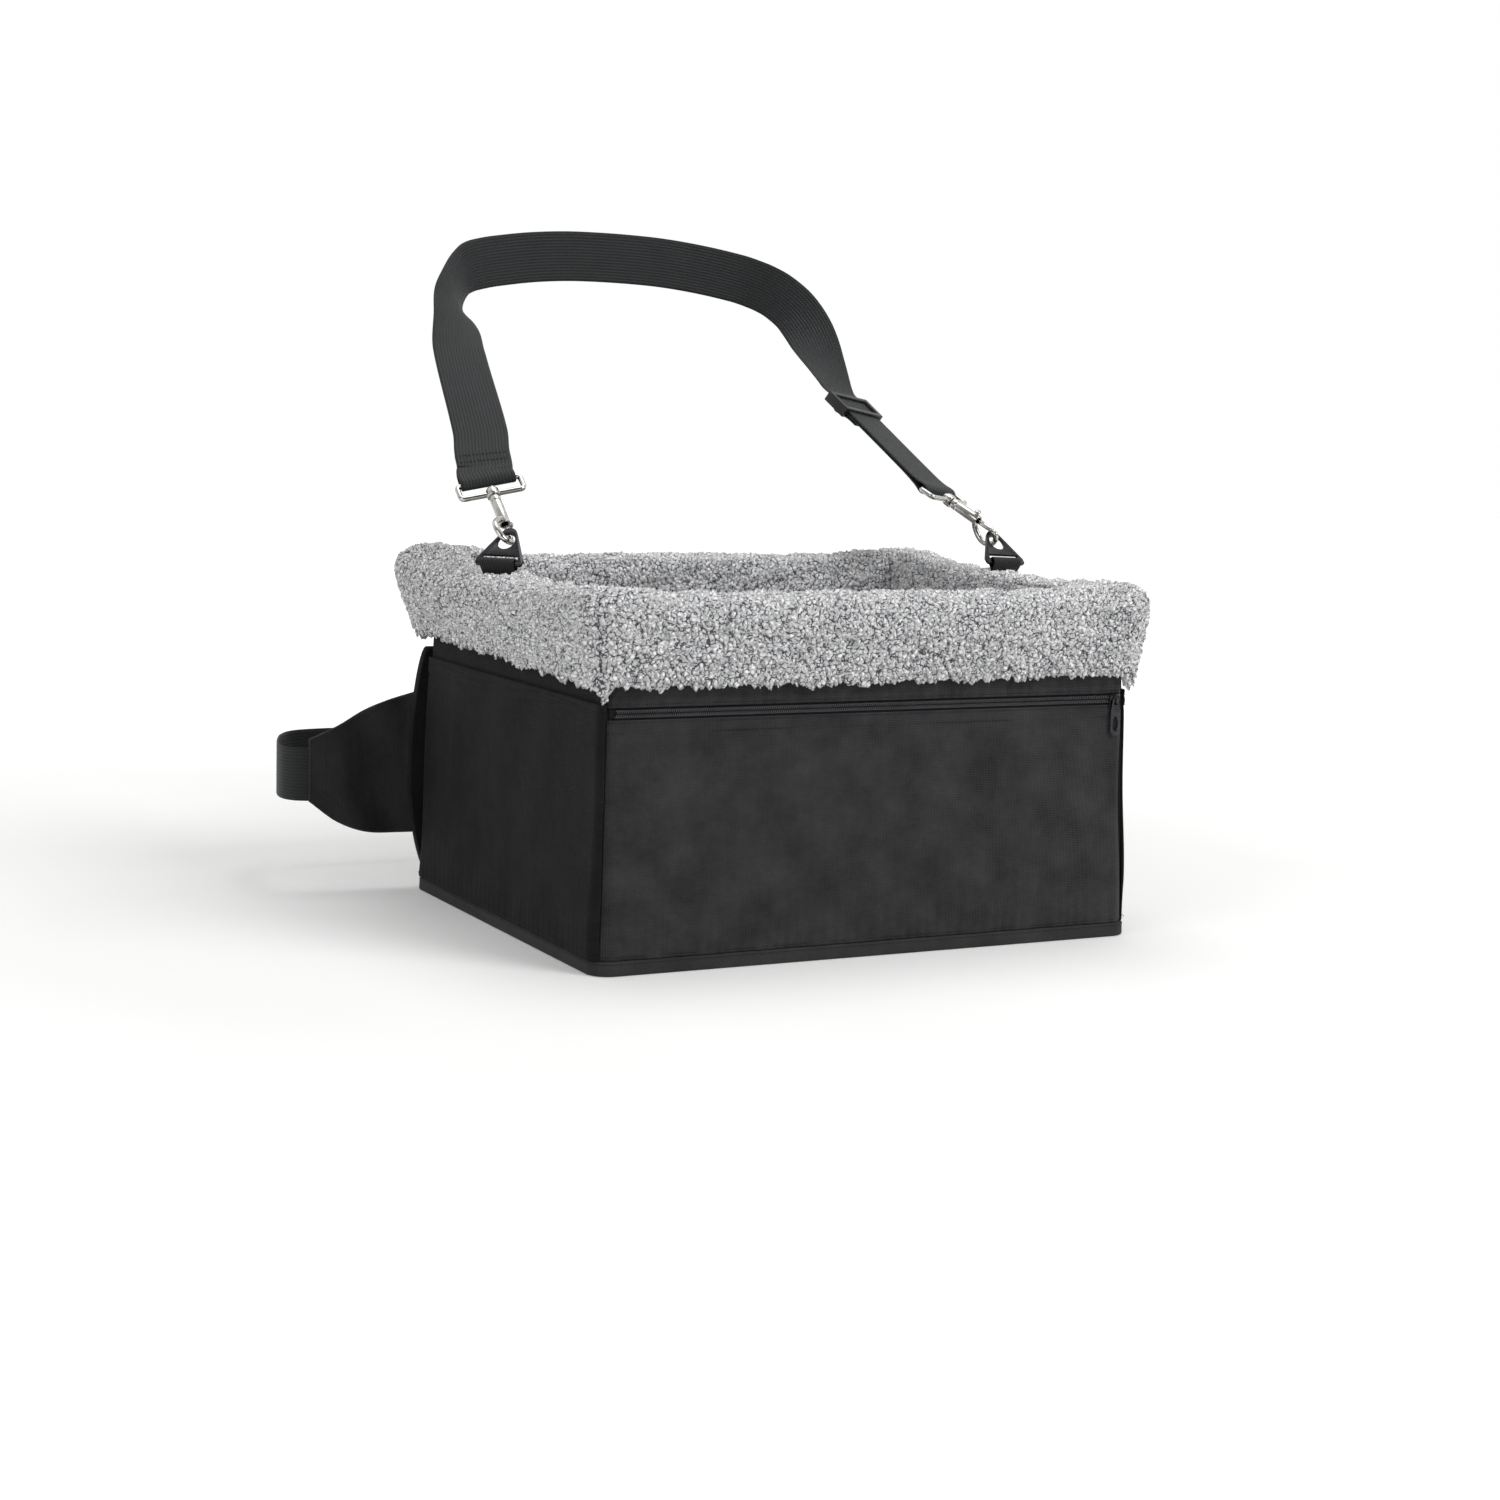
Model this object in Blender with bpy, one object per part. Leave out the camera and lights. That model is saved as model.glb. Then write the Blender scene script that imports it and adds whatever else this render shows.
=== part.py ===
"""Booster seat for a small dog: a fleece-lined fabric box that straps to a car seat.

The frame is +Z up with its origin in the middle of the underside. The zipped front
faces -Y, the padded back faces +Y, and +X is to the right of someone facing the front.
All lengths are in metres.
"""
import math

import bmesh
import bpy
import numpy as np
from mathutils import Matrix, Vector
from mathutils.geometry import tessellate_polygon

# Driving sizes of the box
BOX_WIDTH = 0.406           # across the black walls, at the fleece cuff's lower edge
BOX_DEPTH = 0.320           # front to back at the same height
SPLAY_X = 0.0068            # how much further out each side wall stands at the floor
SPLAY_Y = 0.0085            # the same for the front and back walls
CUFF_EDGE_Z = 0.187         # lower edge of the fleece cuff
WALL_TOP_Z = 0.227          # top of the walls, inside the cuff
CREST_Z = 0.247             # top of the fleece
TOP_CORNER_RADIUS = 0.007
BASE_CORNER_RADIUS = 0.014
LEAST_RADIUS = 0.0012       # tightest corner of an inner layer
FIT_GAP = 0.0003            # between pieces that touch
SEAM_GAP = 0.0003           # between neighbouring panels at a corner seam
CUT_OVERRUN = 0.002         # how far a cutter runs past what it cuts

# Layers of the walls, outside to inside
SHELL_THICKNESS = 0.0015    # lined oxford fabric
POCKET_SPACE = 0.0031       # room for the zip behind the front pocket
BOARD_THICKNESS = 0.003     # plastic stiffener board
LINER_THICKNESS = 0.004     # fleece on foam
FRONT_WALL_DEPTH = SHELL_THICKNESS + POCKET_SPACE
SHELL_DEPTH = FRONT_WALL_DEPTH + SHELL_THICKNESS
BOARD_DEPTH = SHELL_DEPTH + FIT_GAP
LINER_DEPTH = BOARD_DEPTH + BOARD_THICKNESS + FIT_GAP
WALL_DEPTH = LINER_DEPTH + LINER_THICKNESS

# Base
BASE_FLOOR = 0.002          # bottom fabric
BINDING_HEIGHT = 0.010      # band of binding round the bottom edge
BINDING_PROUD = 0.0008      # how far it stands out from the walls
BASE_BOARD_THICKNESS = 0.004
FLOOR_THICKNESS = 0.004

# Webbing
WEBBING_WIDTH = 0.040
WEBBING_THICKNESS = 0.0016
LAYER_STEP = WEBBING_THICKNESS + FIT_GAP

for item in list(bpy.data.objects):
    bpy.data.objects.remove(item, do_unlink=True)


def make_material(name, colour, roughness, metallic=0.0):
    material = bpy.data.materials.new(name)
    material.use_nodes = True
    shader = material.node_tree.nodes["Principled BSDF"]
    shader.inputs["Base Color"].default_value = (*colour, 1.0)
    shader.inputs["Roughness"].default_value = roughness
    shader.inputs["Metallic"].default_value = metallic
    return material


OXFORD = make_material("oxford_fabric", (0.022, 0.022, 0.023), 0.80)
SIDE_OXFORD = make_material("side_oxford_fabric", (0.016, 0.016, 0.017), 0.82)
BINDING = make_material("binding_tape", (0.012, 0.012, 0.012), 0.75)
FLEECE = make_material("sherpa_fleece", (0.47, 0.47, 0.49), 0.95)
WEBBING = make_material("nylon_webbing", (0.030, 0.032, 0.032), 0.70)
STEEL = make_material("nickel_plate", (0.78, 0.77, 0.75), 0.18, 1.0)
BLACK_NICKEL = make_material("black_nickel", (0.07, 0.07, 0.075), 0.25, 1.0)
PLASTIC = make_material("moulded_plastic", (0.014, 0.014, 0.015), 0.45)
BOARD = make_material("stiffener_board", (0.20, 0.20, 0.19), 0.60)
ZIP_NYLON = make_material("zip_nylon", (0.020, 0.020, 0.022), 0.50)


def add_object(name, mesh, material, smooth_angle=None):
    """Puts a mesh into the scene as a named piece with its own material."""
    piece = bpy.data.objects.new(name, mesh)
    bpy.context.scene.collection.objects.link(piece)
    mesh.materials.clear()
    mesh.materials.append(material)
    if smooth_angle is not None:
        mesh.shade_smooth()
        mesh.set_sharp_from_angle(angle=math.radians(smooth_angle))
    return piece


def mesh_from(name, points, faces):
    """A closed mesh whose faces are turned to point outwards."""
    mesh = bpy.data.meshes.new(name)
    mesh.from_pydata([tuple(map(float, point)) for point in points], [], faces)
    work = bmesh.new()
    work.from_mesh(mesh)
    bmesh.ops.recalc_face_normals(work, faces=work.faces)
    work.to_mesh(mesh)
    work.free()
    mesh.update()
    return mesh


def grid_faces(rows, columns, start, closed):
    """Quads between neighbouring rows of points, closing each row on itself if asked."""
    faces = []
    for row in range(rows - 1):
        for column in range(columns if closed else columns - 1):
            after = (column + 1) % columns
            here = start + row * columns
            above = here + columns
            faces.append((here + column, here + after, above + after, above + column))
    return faces


def loft(name, loops):
    """A solid through a stack of closed loops, with flat ends."""
    count = len(loops[0])
    points = np.concatenate(loops)
    faces = grid_faces(len(loops), count, 0, True)
    faces.append(tuple(range(count)))
    faces.append(tuple(range(len(points) - count, len(points))))
    return mesh_from(name, points, faces)


def slab(name, outer, inner):
    """A solid between two grids of points of the same shape."""
    rows, columns = outer.shape[:2]
    size = rows * columns
    points = np.concatenate([outer.reshape(size, 3), inner.reshape(size, 3)])
    faces = grid_faces(rows, columns, 0, False) + grid_faces(rows, columns, size, False)
    rim = [column for column in range(columns)]
    rim += [row * columns + columns - 1 for row in range(1, rows)]
    rim += [(rows - 1) * columns + column for column in range(columns - 2, -1, -1)]
    rim += [row * columns for row in range(rows - 2, 0, -1)]
    for index, here in enumerate(rim):
        after = rim[(index + 1) % len(rim)]
        faces.append((here, after, after + size, here + size))
    return mesh_from(name, points, faces)


def half_width(height):
    return BOX_WIDTH / 2 + SPLAY_X * (1 - height / CUFF_EDGE_Z)


def half_depth(height):
    return BOX_DEPTH / 2 + SPLAY_Y * (1 - height / CUFF_EDGE_Z)


def corner_radius(height):
    drop = 1 - height / CUFF_EDGE_Z
    return TOP_CORNER_RADIUS + (BASE_CORNER_RADIUS - TOP_CORNER_RADIUS) * max(drop, 0)


# A place along a wall runs from -2 to 2: within 1 either way of the middle it is on the
# flat, and past that it is on the rounded corner, up to the seam on the corner's middle.
SIDES = ("front", "right", "back", "left")


def wall_point(side, place, height, depth):
    """The point of one wall's layer, at a place along it and a depth in from its face."""
    across, out = half_width(height), half_depth(height)
    if side in ("left", "right"):
        across, out = out, across
    radius = max(corner_radius(height) - depth, LEAST_RADIUS)
    flat = across - depth - radius
    if abs(place) <= 1:
        along, away = abs(place) * flat, out - depth
    else:
        angle = (abs(place) - 1) * (math.pi / 4 - SEAM_GAP / 2 / radius)
        along = flat + radius * math.sin(angle)
        away = out - depth - radius + radius * math.cos(angle)
    along = math.copysign(along, place)
    turned = {"front": (along, -away), "right": (away, along),
              "back": (-along, away), "left": (-away, -along)}
    return (*turned[side], height)


ARC_STEPS = 3
ROW_HEIGHTS = (BOX_DEPTH / 4, BOX_DEPTH * 0.4, CUFF_EDGE_Z)  # shared, so the layers agree


def wall_places(flat_steps):
    """Places along a whole wall, from the seam at one corner to the seam at the next."""
    half = [step / flat_steps for step in range(flat_steps + 1)]
    half += [1 + step / ARC_STEPS for step in range(1, ARC_STEPS + 1)]
    return [-place for place in half[:0:-1]] + half


def wall_panel(name, side, low, high, outer_depth, inner_depth, material, flat_steps=1):
    """A panel of one wall between two heights and between two depths."""
    places = wall_places(flat_steps)
    heights = [low, *(row for row in ROW_HEIGHTS if low < row < high), high]

    def face(depth):
        return np.array([[wall_point(side, place, height, depth) for place in places]
                         for height in heights])

    return add_object(name, slab(name, face(outer_depth), face(inner_depth)), material, 30)


def round_loop(half_x, half_y, radius, height, steps=5):
    """A rectangle with round corners, as one closed loop of points."""
    points = []
    for quarter in range(4):
        centre_x = (half_x - radius) * (1 if quarter in (0, 3) else -1)
        centre_y = (half_y - radius) * (1 if quarter in (0, 1) else -1)
        for step in range(steps + 1):
            angle = (quarter + step / steps) * math.pi / 2
            points.append((centre_x + radius * math.cos(angle),
                           centre_y + radius * math.sin(angle), height))
    return np.array(points)


def base_loop(height, depth):
    """The box's outline at a height, a depth in from its face."""
    radius = max(corner_radius(height) - depth, LEAST_RADIUS)
    return round_loop(half_width(height) - depth, half_depth(height) - depth, radius, height)


def box_mesh(name, low, high):
    """A plain block between two corners."""
    loops = [np.array([(low[0], low[1], z), (high[0], low[1], z),
                       (high[0], high[1], z), (low[0], high[1], z)]) for z in (low[2], high[2])]
    return loft(name, loops)


def cut(piece, cutter_mesh, operation="DIFFERENCE", place=None):
    """Takes a cutter out of a piece, or joins it on, and leaves the cutter out of the model."""
    work = bmesh.new()
    work.from_mesh(cutter_mesh)
    bmesh.ops.triangulate(work, faces=work.faces)
    work.to_mesh(cutter_mesh)
    work.free()
    cutter = bpy.data.objects.new(piece.name + "_cutter", cutter_mesh)
    bpy.context.scene.collection.objects.link(cutter)
    cutter.hide_render = True
    cutter.display_type = "WIRE"
    if place is not None:
        cutter.matrix_world = place
    change = piece.modifiers.new(operation.lower(), "BOOLEAN")
    change.operation = operation
    change.object = cutter
    change.solver = "EXACT"


# Base: bottom fabric with its binding, and the board that lies in it
BOARD_SEAT = BASE_FLOOR + FIT_GAP
BOARD_TOP = BOARD_SEAT + BASE_BOARD_THICKNESS
FLOOR_LOW = BOARD_TOP + FIT_GAP
FLOOR_TOP = FLOOR_LOW + FLOOR_THICKNESS
PANEL_LOW = BINDING_HEIGHT + FIT_GAP
base_loops = [base_loop(0.0, -BINDING_PROUD), base_loop(BINDING_HEIGHT, -BINDING_PROUD),
              base_loop(BINDING_HEIGHT, SHELL_DEPTH), base_loop(BASE_FLOOR, SHELL_DEPTH)]
add_object("base_panel", loft("base_panel", base_loops), BINDING, 30)
board_loops = [base_loop(BOARD_SEAT, BOARD_DEPTH), base_loop(BOARD_TOP, BOARD_DEPTH)]
add_object("base_board", loft("base_board", board_loops), BOARD, 30)

# Zip: it crosses the front below the cuff
ZIP_Z = 0.1706              # height of the chain's middle
ZIP_GAP = 0.0014            # slit between the two rows of coil
COIL_HEIGHT = 0.0024        # one row of coil
COIL_DEPTH = 0.0022
TAPE_HEIGHT = 0.011
TAPE_THICKNESS = 0.0006
HEM_REVEAL = 0.0010         # space between a hem and the coil
HEM_OFFSET = ZIP_GAP / 2 + COIL_HEIGHT + HEM_REVEAL
POCKET_TOP = ZIP_Z - HEM_OFFSET
BAND_LOW = ZIP_Z + HEM_OFFSET
TAPE_DEPTH = SHELL_THICKNESS + FIT_GAP
ZIP_HALF = half_width(ZIP_Z) - corner_radius(ZIP_Z)

# Fabric shell, panel by panel
wall_panel("front_pocket_panel", "front", PANEL_LOW, POCKET_TOP, 0.0, SHELL_THICKNESS, OXFORD)
wall_panel("front_top_band", "front", BAND_LOW, WALL_TOP_Z, 0.0, SHELL_THICKNESS, OXFORD)
wall_panel("front_wall", "front", PANEL_LOW, WALL_TOP_Z, FRONT_WALL_DEPTH, SHELL_DEPTH, OXFORD)
wall_panel("left_side_panel", "left", PANEL_LOW, WALL_TOP_Z, 0.0, SHELL_DEPTH, SIDE_OXFORD)
wall_panel("right_side_panel", "right", PANEL_LOW, WALL_TOP_Z, 0.0, SHELL_DEPTH, SIDE_OXFORD)
wall_panel("back_panel", "back", PANEL_LOW, WALL_TOP_Z, 0.0, SHELL_DEPTH, SIDE_OXFORD)


def tape_mesh(name, sign):
    """Half of the zip: a strip of tape with a row of coil along its inner edge."""
    edge = ZIP_Z + sign * ZIP_GAP / 2
    coil_end = edge + sign * COIL_HEIGHT
    tape_end = edge + sign * TAPE_HEIGHT
    back = TAPE_DEPTH + TAPE_THICKNESS
    front = back - COIL_DEPTH
    profile = [(front, edge), (front, coil_end), (TAPE_DEPTH, coil_end), (TAPE_DEPTH, tape_end),
               (back, tape_end), (back, edge)]
    loops = [np.array([(x, -half_depth(z) + depth, z) for depth, z in profile])
             for x in (-ZIP_HALF, ZIP_HALF)]
    return loft(name, loops)


add_object("zip_upper_tape", tape_mesh("zip_upper_tape", 1), ZIP_NYLON)
add_object("zip_lower_tape", tape_mesh("zip_lower_tape", -1), ZIP_NYLON)

# Side pockets: a patch of fabric on each side wall, hemmed along its top
POCKET_HEM_Z = 0.177
HEM_HEIGHT = 0.012
HEM_THICKNESS = 0.0008
for side in ("left", "right"):
    name = side + "_side_pocket"
    places = wall_places(1)
    heights = [PANEL_LOW, POCKET_HEM_Z - HEM_HEIGHT, POCKET_HEM_Z - HEM_HEIGHT, POCKET_HEM_Z]
    depths = [SHELL_THICKNESS, SHELL_THICKNESS, SHELL_THICKNESS + HEM_THICKNESS,
              SHELL_THICKNESS + HEM_THICKNESS]
    outer = np.array([[wall_point(side, place, height, -depth - FIT_GAP) for place in places]
                      for height, depth in zip(heights, depths)])
    inner = np.array([[wall_point(side, place, height, -FIT_GAP) for place in places]
                      for height in (PANEL_LOW, POCKET_HEM_Z)])
    inner = np.array([inner[0] + (inner[1] - inner[0]) * share for share in (0, 0.4, 0.6, 1)])
    add_object(name, slab(name, outer, inner), SIDE_OXFORD, 30)

# Stiffener boards and the fleece liner
for side in SIDES:
    wall_panel(side + "_board", side, FLOOR_LOW, WALL_TOP_Z, BOARD_DEPTH,
               BOARD_DEPTH + BOARD_THICKNESS, BOARD)
    wall_panel("liner_" + side, side, FLOOR_TOP + FIT_GAP, CUFF_EDGE_Z - FIT_GAP, LINER_DEPTH,
               WALL_DEPTH, FLEECE)
floor_loops = [base_loop(FLOOR_LOW, LINER_DEPTH), base_loop(FLOOR_TOP, LINER_DEPTH)]
add_object("liner_floor", loft("liner_floor", floor_loops), FLEECE, 30)

# Padded back: it lies against the seat back, a little wider than the wall that it is sewn to
PAD_THICKNESS = 0.012
PAD_LOW = 0.014
PAD_HIGH = 0.176
PAD_OVERHANG = 0.0105       # how far it stands past the walls at its widest, low down
PAD_TOP_INSET = 0.005       # how far its top corners lie inside the walls
PAD_HALF_WIDTH = BOX_WIDTH / 2 + PAD_OVERHANG
PAD_TOP_HALF_WIDTH = BOX_WIDTH / 2 - PAD_TOP_INSET
PAD_EDGE = 0.004            # rounding of its edges
PAD_FACE_Y = half_depth(PAD_LOW) + FIT_GAP + PAD_THICKNESS
pad_rows = 9
pad_columns = 6


def pad_half_width(share):
    """The pad swells towards its lower third and narrows at both ends."""
    swell = math.sin(math.pi * min(1.0, 0.12 + share * 0.88)) ** 0.6
    return PAD_TOP_HALF_WIDTH + (PAD_HALF_WIDTH - PAD_TOP_HALF_WIDTH) * swell * (1 - share / 3)


pad_outer, pad_inner = [], []
for row in range(pad_rows + 1):
    share = row / pad_rows
    z = PAD_LOW + (PAD_HIGH - PAD_LOW) * share
    outside, inside = [], []
    for column in range(-pad_columns, pad_columns + 1):
        across = column / pad_columns
        outer_half = pad_half_width(share) - PAD_EDGE
        edge = abs(column) == pad_columns or row in (0, pad_rows)
        face_y = PAD_FACE_Y - (PAD_EDGE if edge else 0.0)
        outside.append((across * (outer_half + (PAD_EDGE if edge else 0.0)), face_y, z))
        inside.append((across * outer_half, half_depth(z) + FIT_GAP, z))
    pad_outer.append(outside)
    pad_inner.append(inside)
add_object("back_pad", slab("back_pad", np.array(pad_outer), np.array(pad_inner)),
           SIDE_OXFORD, 40)

# Fleece cuff: the liner's fleece turned over the top of each wall, sewn at the corners
CUFF_BACKING = 0.0006       # space between the cuff and the black wall
CUFF_OUT = 0.0195           # how far it stands out at its fullest
CUFF_FOOT = 0.0070          # the same at its lower edge
CUFF_IN = 0.0085            # how far it stands into the box from the liner's outer face
CORNER_DROP = 0.0085        # how much lower it hangs at a corner
CUFF_FLAT_STEPS = 3
CUFF_REAR_SWELL = 0.60      # how much further out the sides stand towards the back
CREST_REAR_RISE = 0.014     # how much higher the fleece is at the back
CREST_RISE_POWER = 2.6
CUFF_SLOT = BOARD_DEPTH + BOARD_THICKNESS + FIT_GAP
CUFF_RISE = CREST_Z - CUFF_EDGE_Z
# Depth as a share of how far out, or in, the cuff stands, and height as a share of its rise
CUFF_OUTER_SHARES = ((0.60, 0.22), (0.84, 0.48), (1.00, 0.76), (0.86, 0.92), (0.40, 0.995))
CUFF_INNER_SHARES = ((0.25, 0.985), (0.80, 0.89), (1.00, 0.74), (0.90, 0.42), (0.66, 0.12))


def cuff_profile(drop, swell, lift):
    """The cuff's section as (depth, height), from its outer lower edge round over the top."""
    profile = [(-CUFF_BACKING, CUFF_EDGE_Z - drop), (-CUFF_FOOT * swell, CUFF_EDGE_Z - drop)]
    profile += [(-CUFF_OUT * swell * out,
                 CUFF_EDGE_Z - drop * (1 - rise) ** 2 + (CUFF_RISE + lift) * rise)
                for out, rise in CUFF_OUTER_SHARES]
    profile += [(CUFF_SLOT + CUFF_IN * inward, CUFF_EDGE_Z + (CUFF_RISE + lift) * rise)
                for inward, rise in CUFF_INNER_SHARES]
    profile += [(CUFF_SLOT + CUFF_IN / 2, CUFF_EDGE_Z), (CUFF_SLOT, CUFF_EDGE_Z),
                (CUFF_SLOT, WALL_TOP_Z + FIT_GAP), (-CUFF_BACKING, WALL_TOP_Z + FIT_GAP)]
    return profile


def ease(share):
    """A smooth step from 0 to 1."""
    share = min(1.0, max(0.0, share))
    return share * share * (3 - 2 * share)


cuffs = {}
for side in SIDES:
    name = side + "_cuff"
    loops = []
    for place in wall_places(CUFF_FLAT_STEPS):
        corner = max(0.0, abs(place) - 1)
        back = 0.5 + wall_point(side, place, CUFF_EDGE_Z, 0.0)[1] / BOX_DEPTH
        back = ease(back)
        swell = 1 + CUFF_REAR_SWELL * back * (ease(corner) if side in ("front", "back") else 1)
        lift = CREST_REAR_RISE * back ** CREST_RISE_POWER
        loops.append(np.array([wall_point(side, place, z, depth) for depth, z
                               in cuff_profile(CORNER_DROP * corner ** 1.5, swell, lift)]))
    cuffs[side] = add_object(name, loft(name, loops), FLEECE, 50)

# Seat cushion: a fleece pad that lies on the floor of the box and lifts out
CUSHION_SIDE_GAP = 0.0073   # between its sides and the liner
CUSHION_END_GAP = 0.0083
CUSHION_HALF_X = BOX_WIDTH / 2 - WALL_DEPTH - CUSHION_SIDE_GAP
CUSHION_HALF_Y = BOX_DEPTH / 2 - WALL_DEPTH - CUSHION_END_GAP
CUSHION_THICKNESS = 0.042
CUSHION_SEAM = 0.36         # height of its edge seam, as a share of the thickness
CUSHION_RADIUS = 0.030
CUSHION_PULL = 0.006        # how far its sides draw in between the corners
CUSHION_STEPS = 12
CUSHION_LOW = FLOOR_TOP + FIT_GAP


def cushion_mesh(name):
    """A crowned pad: a square grid bent to a round-cornered outline, top and bottom."""
    count = 2 * CUSHION_STEPS + 1
    line = np.sin(np.linspace(-1, 1, count) * math.pi / 2)
    u, v = np.meshgrid(line, line, indexing="ij")
    rounding = CUSHION_RADIUS / CUSHION_HALF_X
    x = u * np.sqrt(1 - rounding * v ** 8 * u ** 2) * (CUSHION_HALF_X - CUSHION_PULL * (1 - v ** 2))
    y = v * np.sqrt(1 - rounding * u ** 8 * v ** 2) * (CUSHION_HALF_Y - CUSHION_PULL * (1 - u ** 2))
    crown = ((1 - u ** 6) * (1 - v ** 6)) ** 0.45
    seam = CUSHION_THICKNESS * CUSHION_SEAM
    top = np.stack([x, y, CUSHION_LOW + seam + (CUSHION_THICKNESS - seam) * crown], axis=-1)
    belly = np.minimum(1, crown * 1.6)
    bottom = np.stack([x, y, CUSHION_LOW + seam * (1 - belly)], axis=-1)
    edge = np.zeros((count, count), bool)
    edge[[0, -1], :] = edge[:, [0, -1]] = True
    index = np.arange(count * count).reshape(count, count)
    below = np.where(edge, index, index + count * count)
    faces = []
    for row in range(count - 1):
        for column in range(count - 1):
            for sheet in (index, below):
                faces.append((int(sheet[row, column]), int(sheet[row + 1, column]),
                              int(sheet[row + 1, column + 1]), int(sheet[row, column + 1])))
    mesh = mesh_from(name, np.concatenate([top.reshape(-1, 3), bottom.reshape(-1, 3)]), faces)
    work = bmesh.new()
    work.from_mesh(mesh)
    loose = [vertex for vertex in work.verts if not vertex.link_faces]
    bmesh.ops.delete(work, geom=loose, context="VERTS")
    work.to_mesh(mesh)
    work.free()
    return mesh


add_object("seat_cushion", cushion_mesh("seat_cushion"), FLEECE, 60)


def unit(vector):
    vector = np.asarray(vector, float)
    return vector / np.linalg.norm(vector)


def ribbon_mesh(name, points, widths, width, thicknesses, columns=4):
    """A flat strap: a thin oblong carried along a route.

    points are the middle of the strap, and widths point across it at each of them.
    A twisted strap needs several columns across.
    """
    points = np.asarray(points, float)
    tangents = np.gradient(points, axis=0)
    line = [1 - 2 * column / columns for column in range(columns + 1)]
    section = [(place, 1) for place in line] + [(-place, -1) for place in line]
    loops = []
    for point, tangent, across, thickness in zip(points, tangents, widths, thicknesses):
        tangent = unit(tangent)
        across = unit(np.asarray(across) - np.dot(across, tangent) * tangent)
        normal = np.cross(tangent, across)
        loops.append(np.array([point + across * width / 2 * a + normal * thickness / 2 * b
                               for a, b in section]))
    return loft(name, loops)


def ribbon(name, points, widths, width, thickness, material, columns=4):
    mesh = ribbon_mesh(name, points, widths, width, [thickness] * len(points), columns)
    return add_object(name, mesh, material, 40)


def smooth_route(knots, steps):
    """A curve through chosen points (Hermite), with the same steps between each two."""
    knots = np.array(knots, float)
    tangents = np.gradient(knots, axis=0)
    tangents /= np.linalg.norm(tangents, axis=1)[:, None]
    route = []
    for start, end, leave, arrive in zip(knots, knots[1:], tangents, tangents[1:]):
        length = np.linalg.norm(end - start)
        for t in np.arange(steps) / steps:
            route.append((2 * t ** 3 - 3 * t ** 2 + 1) * start + (3 * t ** 2 - 2 * t ** 3) * end
                         + length * ((t ** 3 - 2 * t ** 2 + t) * leave + (t ** 3 - t ** 2) * arrive))
    route.append(knots[-1])
    return np.array(route)


def tube_mesh(name, points, radii, sides, closed=False, normal=None):
    """A round rod along a route. A closed one joins its ends, and normal keeps it untwisted."""
    points = np.asarray(points, float)
    if closed:
        tangents = np.roll(points, -1, axis=0) - np.roll(points, 1, axis=0)
    else:
        tangents = np.gradient(points, axis=0)
    loops = []
    for point, tangent, radius in zip(points, tangents, radii):
        tangent = unit(tangent)
        up = unit(np.asarray(normal) - np.dot(normal, tangent) * tangent)
        side = np.cross(tangent, up)
        angles = np.arange(sides) * 2 * math.pi / sides
        loops.append(np.array([point + radius * (math.cos(a) * up + math.sin(a) * side)
                               for a in angles]))
    if not closed:
        return loft(name, loops)
    faces = grid_faces(len(loops), sides, 0, True)
    last = (len(loops) - 1) * sides
    for step in range(sides):
        after = (step + 1) % sides
        faces.append((last + step, last + after, after, step))
    return mesh_from(name, np.concatenate(loops), faces)


def turned_mesh(name, profile, sides):
    """A turned piece on the local Z axis, from (radius, height) pairs, with flat ends."""
    angles = np.arange(sides) * 2 * math.pi / sides
    loops = [np.array([(radius * math.cos(a), radius * math.sin(a), height) for a in angles])
             for radius, height in profile]
    return loft(name, loops)


def plate_mesh(name, outline, holes, thickness):
    """A flat plate with holes. Its outline is in local X and Z, and its middle is at Y = 0."""
    loops = [[Vector((x, 0.0, z)) for x, z in loop] for loop in (outline, *holes)]
    triangles = tessellate_polygon(loops)
    flat = [point for loop in loops for point in loop]
    count = len(flat)
    points = [(p.x, -thickness / 2, p.z) for p in flat] + [(p.x, thickness / 2, p.z) for p in flat]
    faces = [tuple(triangle) for triangle in triangles]
    faces += [tuple(index + count for index in reversed(triangle)) for triangle in triangles]
    start = 0
    for loop in loops:
        for step in range(len(loop)):
            here = start + step
            after = start + (step + 1) % len(loop)
            faces.append((here, after, after + count, here + count))
        start += len(loop)
    return mesh_from(name, points, faces)


def frame_matrix(origin, across, up):
    """A placing whose local X runs across and whose local Z runs up."""
    up = unit(up)
    across = unit(np.asarray(across) - np.dot(across, up) * up)
    away = np.cross(up, across)
    matrix = Matrix.Identity(4)
    for row in range(3):
        matrix[row][0] = across[row]
        matrix[row][1] = away[row]
        matrix[row][2] = up[row]
        matrix[row][3] = origin[row]
    return matrix


# Tab and ring on each side: the strap hooks on here
TAB_OUT = 0.0055            # how far the ring's bar is outside the wall
TAB_X = BOX_WIDTH / 2 + TAB_OUT
TAB_Y = 0.012
TAB_Z = 0.2565
TAB_WIDTH = 0.026
TAB_THICKNESS = 0.0012
TAB_ROOT_Z = 0.200
TAB_TWIST_LOW = WALL_TOP_Z + 2 * FIT_GAP    # the tab turns to face the front above the wall
TAB_TWIST_HIGH = 0.2540
SLIT_GAP = 0.0005           # round the tab where it comes through the cuff
LOOP_SHARE = 0.17           # the part of the tab's height in which its layers part
TAB_STEPS = 13
RING_THICKNESS = 0.0024
RING_HALF_BASE = 0.0178
RING_FOOT = 0.0021          # from the bar's middle to the ring's lower edge
RING_BAR_TOP = 0.0019
RING_SLOT_TOP = 0.0066
RING_SLOT_HALF = 0.0136
RING_SHOULDER = 0.0030
RING_APEX = 0.0310
RING_APEX_RADIUS = 0.0062
RING_FOOT_RADIUS = 0.0018
RING_HOLE_Z = 0.0190
RING_HOLE_HALF = (0.0064, 0.0070)

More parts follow.
